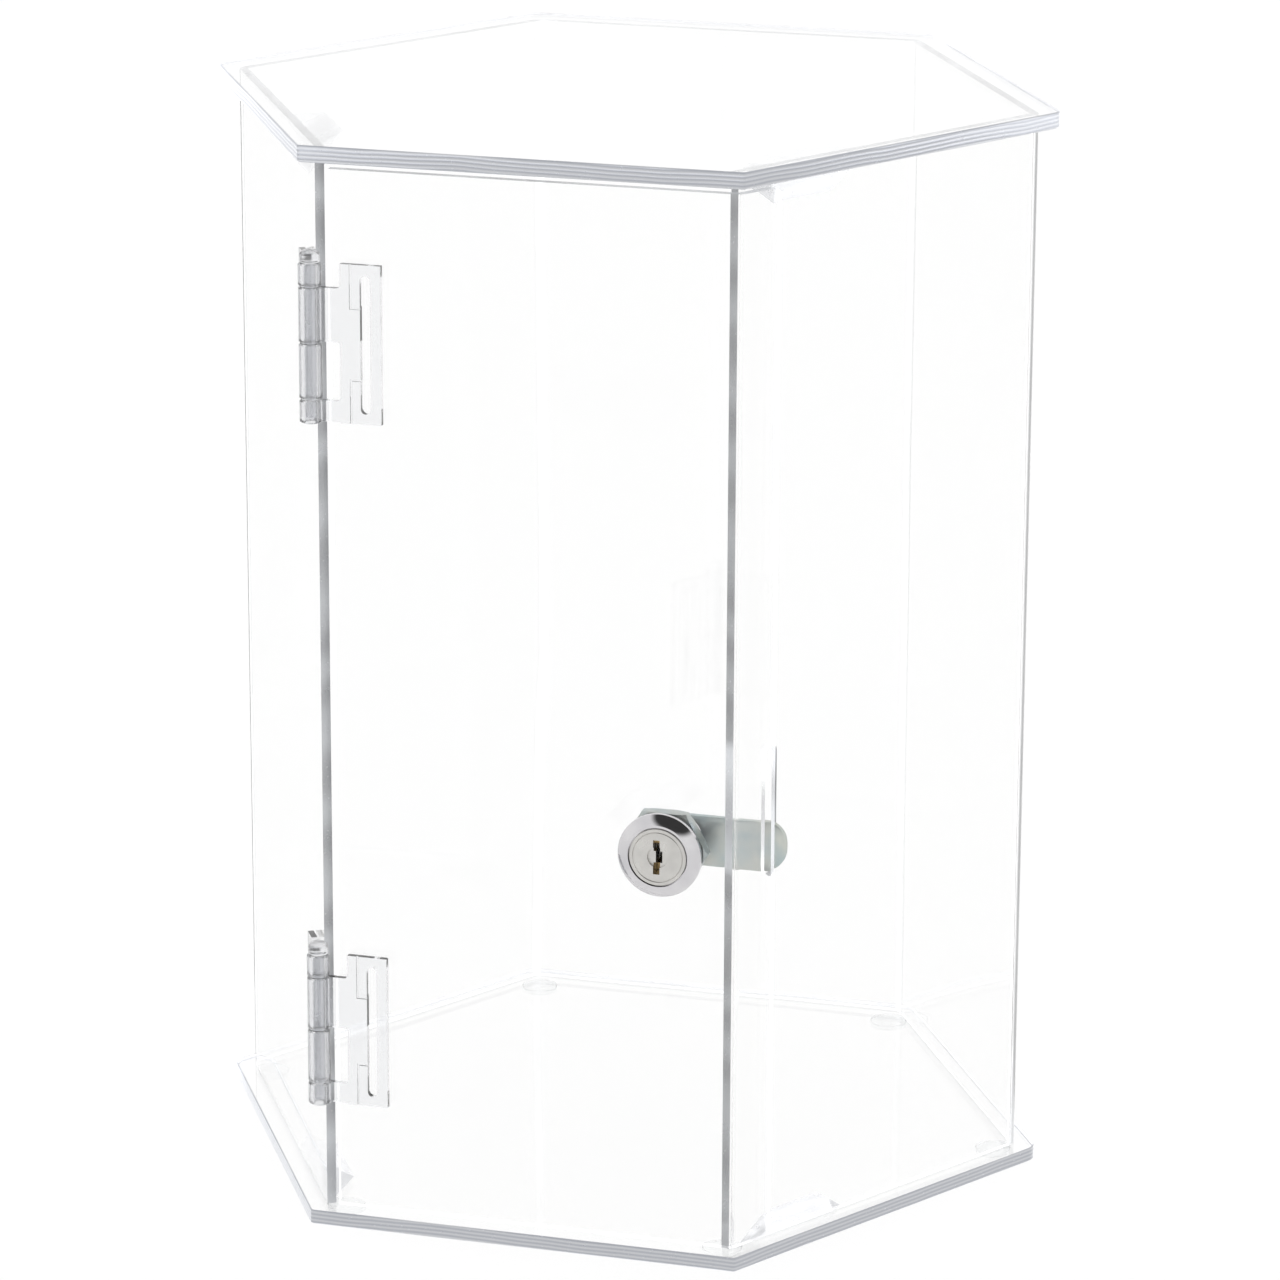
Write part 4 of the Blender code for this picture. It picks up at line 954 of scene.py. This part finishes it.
# A washer's outline has as many points as the square hole, and starts at the angle of its first corner.
round_angles = np.linspace(-0.75 * math.pi, 1.25 * math.pi, 4 * PLATE_STEPS, endpoint=False)
round_outline = np.stack((np.cos(round_angles), np.sin(round_angles)), axis=1)
washer_low, washer_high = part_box("stop_washer")
stop_radius = (washer_high[0] - washer_low[0]) / 2
stop = piece_from("stop_disc", [pressed_plate(round_outline * stop_radius, square_hole, "stop_washer",
                                              CAM_EASE / 2)], (zinc_plate,), smooth_angle=50)
washer_low, washer_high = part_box("cam_washer")
washer_radius = (washer_high[0] - washer_low[0]) / 2
washer = piece_from("screw_washer", [pressed_plate(round_outline * washer_radius,
                                                   round_outline * (SCREW_RADIUS + SEAT_GAP), "cam_washer",
                                                   CAM_EASE / 2)], (zinc_plate,), smooth_angle=50)
low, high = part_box("cam_screw")
head_radius = (high[0] - low[0]) / 2
head_rear = lock_center[1] - high[1]
shank_end = lock_center[1] - low[1]
head_front = lock_center[1] - washer_high[1] - SEAT_GAP
crown = np.linspace(0, math.pi / 2, 10)
head_height = head_front - head_rear
dome = np.stack((head_radius * ((1 - CROWN_POLE_SHARE) * np.sin(crown) + CROWN_POLE_SHARE),
                 head_rear + head_height * CROWN_SHARE * (1 - np.cos(crown))), axis=1)
profile = np.concatenate((dome, ((head_radius, head_front), (SCREW_RADIUS, head_front),
                                 (SCREW_RADIUS, shank_end))))
screw = piece_from("cross_head_screw", [ring_surface(turned_rings(profile, lock_center, "-Y"))],
                   (zinc_plate,), smooth_angle=30)
for outline in (box_outline(CROSS_REACH, CROSS_HALF_WIDTH), box_outline(CROSS_HALF_WIDTH, CROSS_REACH)):
    cutter = lock_prism(outline, head_rear - CROSS_DEPTH, head_rear + CROSS_DEPTH)
    subtract(screw, piece_from("cross_cutter", [cutter], (zinc_plate,)))
for piece, node in ((cam, "lock_cam"), (stop, "stop_washer"), (washer, "cam_washer"), (screw, "cam_screw")):
    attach(piece, "lock_core")
    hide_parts(node)


# ---- Studio ----
# A white table and an even white room. Only reflections meet a soft dark cloth, high in front of the case,
# which gives the bright metal something to mirror.
ROOM_STRENGTH = 1.045
CLOTH_STRENGTH = 0.05
CLOTH_DIRECTION = Vector((0.18, -0.52, 0.83)).normalized()
CLOTH_EDGE = (0.75, 0.87)
TABLE_HALF = 4.0
TABLE_TONES = ((0.97, 0.97, 0.97, 1), (0.985, 0.985, 0.985, 1))
world = bpy.data.worlds.new("white_room")
bpy.context.scene.world = world
world.use_nodes = True
tree = world.node_tree
room = tree.nodes["Background"]
direction = place_node(tree, "ShaderNodeTexCoord").outputs["Generated"]
toward = place_node(tree, "ShaderNodeVectorMath", {0: direction, 1: CLOTH_DIRECTION},
                    operation="DOT_PRODUCT")
cloth = place_node(tree, "ShaderNodeMapRange",
                   {"Value": toward.outputs["Value"], "From Min": CLOTH_EDGE[0], "From Max": CLOTH_EDGE[1],
                    "To Min": ROOM_STRENGTH, "To Max": CLOTH_STRENGTH}, interpolation_type="SMOOTHSTEP")
glossy = place_node(tree, "ShaderNodeLightPath").outputs["Is Glossy Ray"]
seen = place_node(tree, "ShaderNodeMix", {"Factor": glossy, 2: ROOM_STRENGTH, 3: cloth.outputs[0]})
tree.links.new(seen.outputs[0], room.inputs["Strength"])
room.inputs["Color"].default_value = (1, 1, 1, 1)

table_level = cad_box[0][2]
table_corners = [(x, y, table_level) for x, y in box_outline(TABLE_HALF, TABLE_HALF)]
table_mesh = bpy.data.meshes.new("white_table")
table_mesh.from_pydata(table_corners, [], [(0, 1, 2, 3)])
floor = bpy.data.objects.new("white_table", table_mesh)
bpy.context.scene.collection.objects.link(floor)
table_white, tree, shader = principled_material("table_white")
shader.inputs["Roughness"].default_value = 0.9
shader.inputs["Specular IOR Level"].default_value = 0.1
mottle = place_node(tree, "ShaderNodeTexNoise", {"Scale": 3.0})
tree.links.new(blend_colors(tree, mottle.outputs["Fac"], *TABLE_TONES), shader.inputs["Base Color"])
table_mesh.materials.append(table_white)


# ---- Camera ----
# A long lens a little above the case's middle, turned towards its lock side.
CAMERA_TARGET = Vector((0.0028, 0.0008, 0.1425))
CAMERA_DISTANCE = 1.580
CAMERA_LENS = 158.16
CAMERA_SENSOR = 36
CAMERA_AZIMUTH = math.radians(16.064)
CAMERA_ELEVATION = math.radians(16.307)
CAMERA_ROLL = 0.0041927
CLEAR_BOUNCES = 28
SEE_THROUGH_BOUNCES = 32
back = Vector((math.sin(CAMERA_AZIMUTH) * math.cos(CAMERA_ELEVATION),
               -math.cos(CAMERA_AZIMUTH) * math.cos(CAMERA_ELEVATION), math.sin(CAMERA_ELEVATION)))
right = Vector((math.cos(CAMERA_AZIMUTH), math.sin(CAMERA_AZIMUTH), 0))
up = back.cross(right)
level_right = right * math.cos(CAMERA_ROLL) + up * math.sin(CAMERA_ROLL)
level_up = up * math.cos(CAMERA_ROLL) - right * math.sin(CAMERA_ROLL)
lens = bpy.data.cameras.new("camera")
lens.lens = CAMERA_LENS
lens.sensor_width = CAMERA_SENSOR
camera = bpy.data.objects.new("camera", lens)
placed = Matrix((level_right, level_up, back)).transposed().to_4x4()
placed.translation = CAMERA_TARGET + back * CAMERA_DISTANCE
camera.matrix_world = placed
bpy.context.scene.collection.objects.link(camera)
bpy.context.scene.camera = camera
bpy.context.scene.view_settings.view_transform = "Standard"
bpy.context.scene.cycles.max_bounces = CLEAR_BOUNCES
bpy.context.scene.cycles.transmission_bounces = CLEAR_BOUNCES
bpy.context.scene.cycles.transparent_max_bounces = SEE_THROUGH_BOUNCES
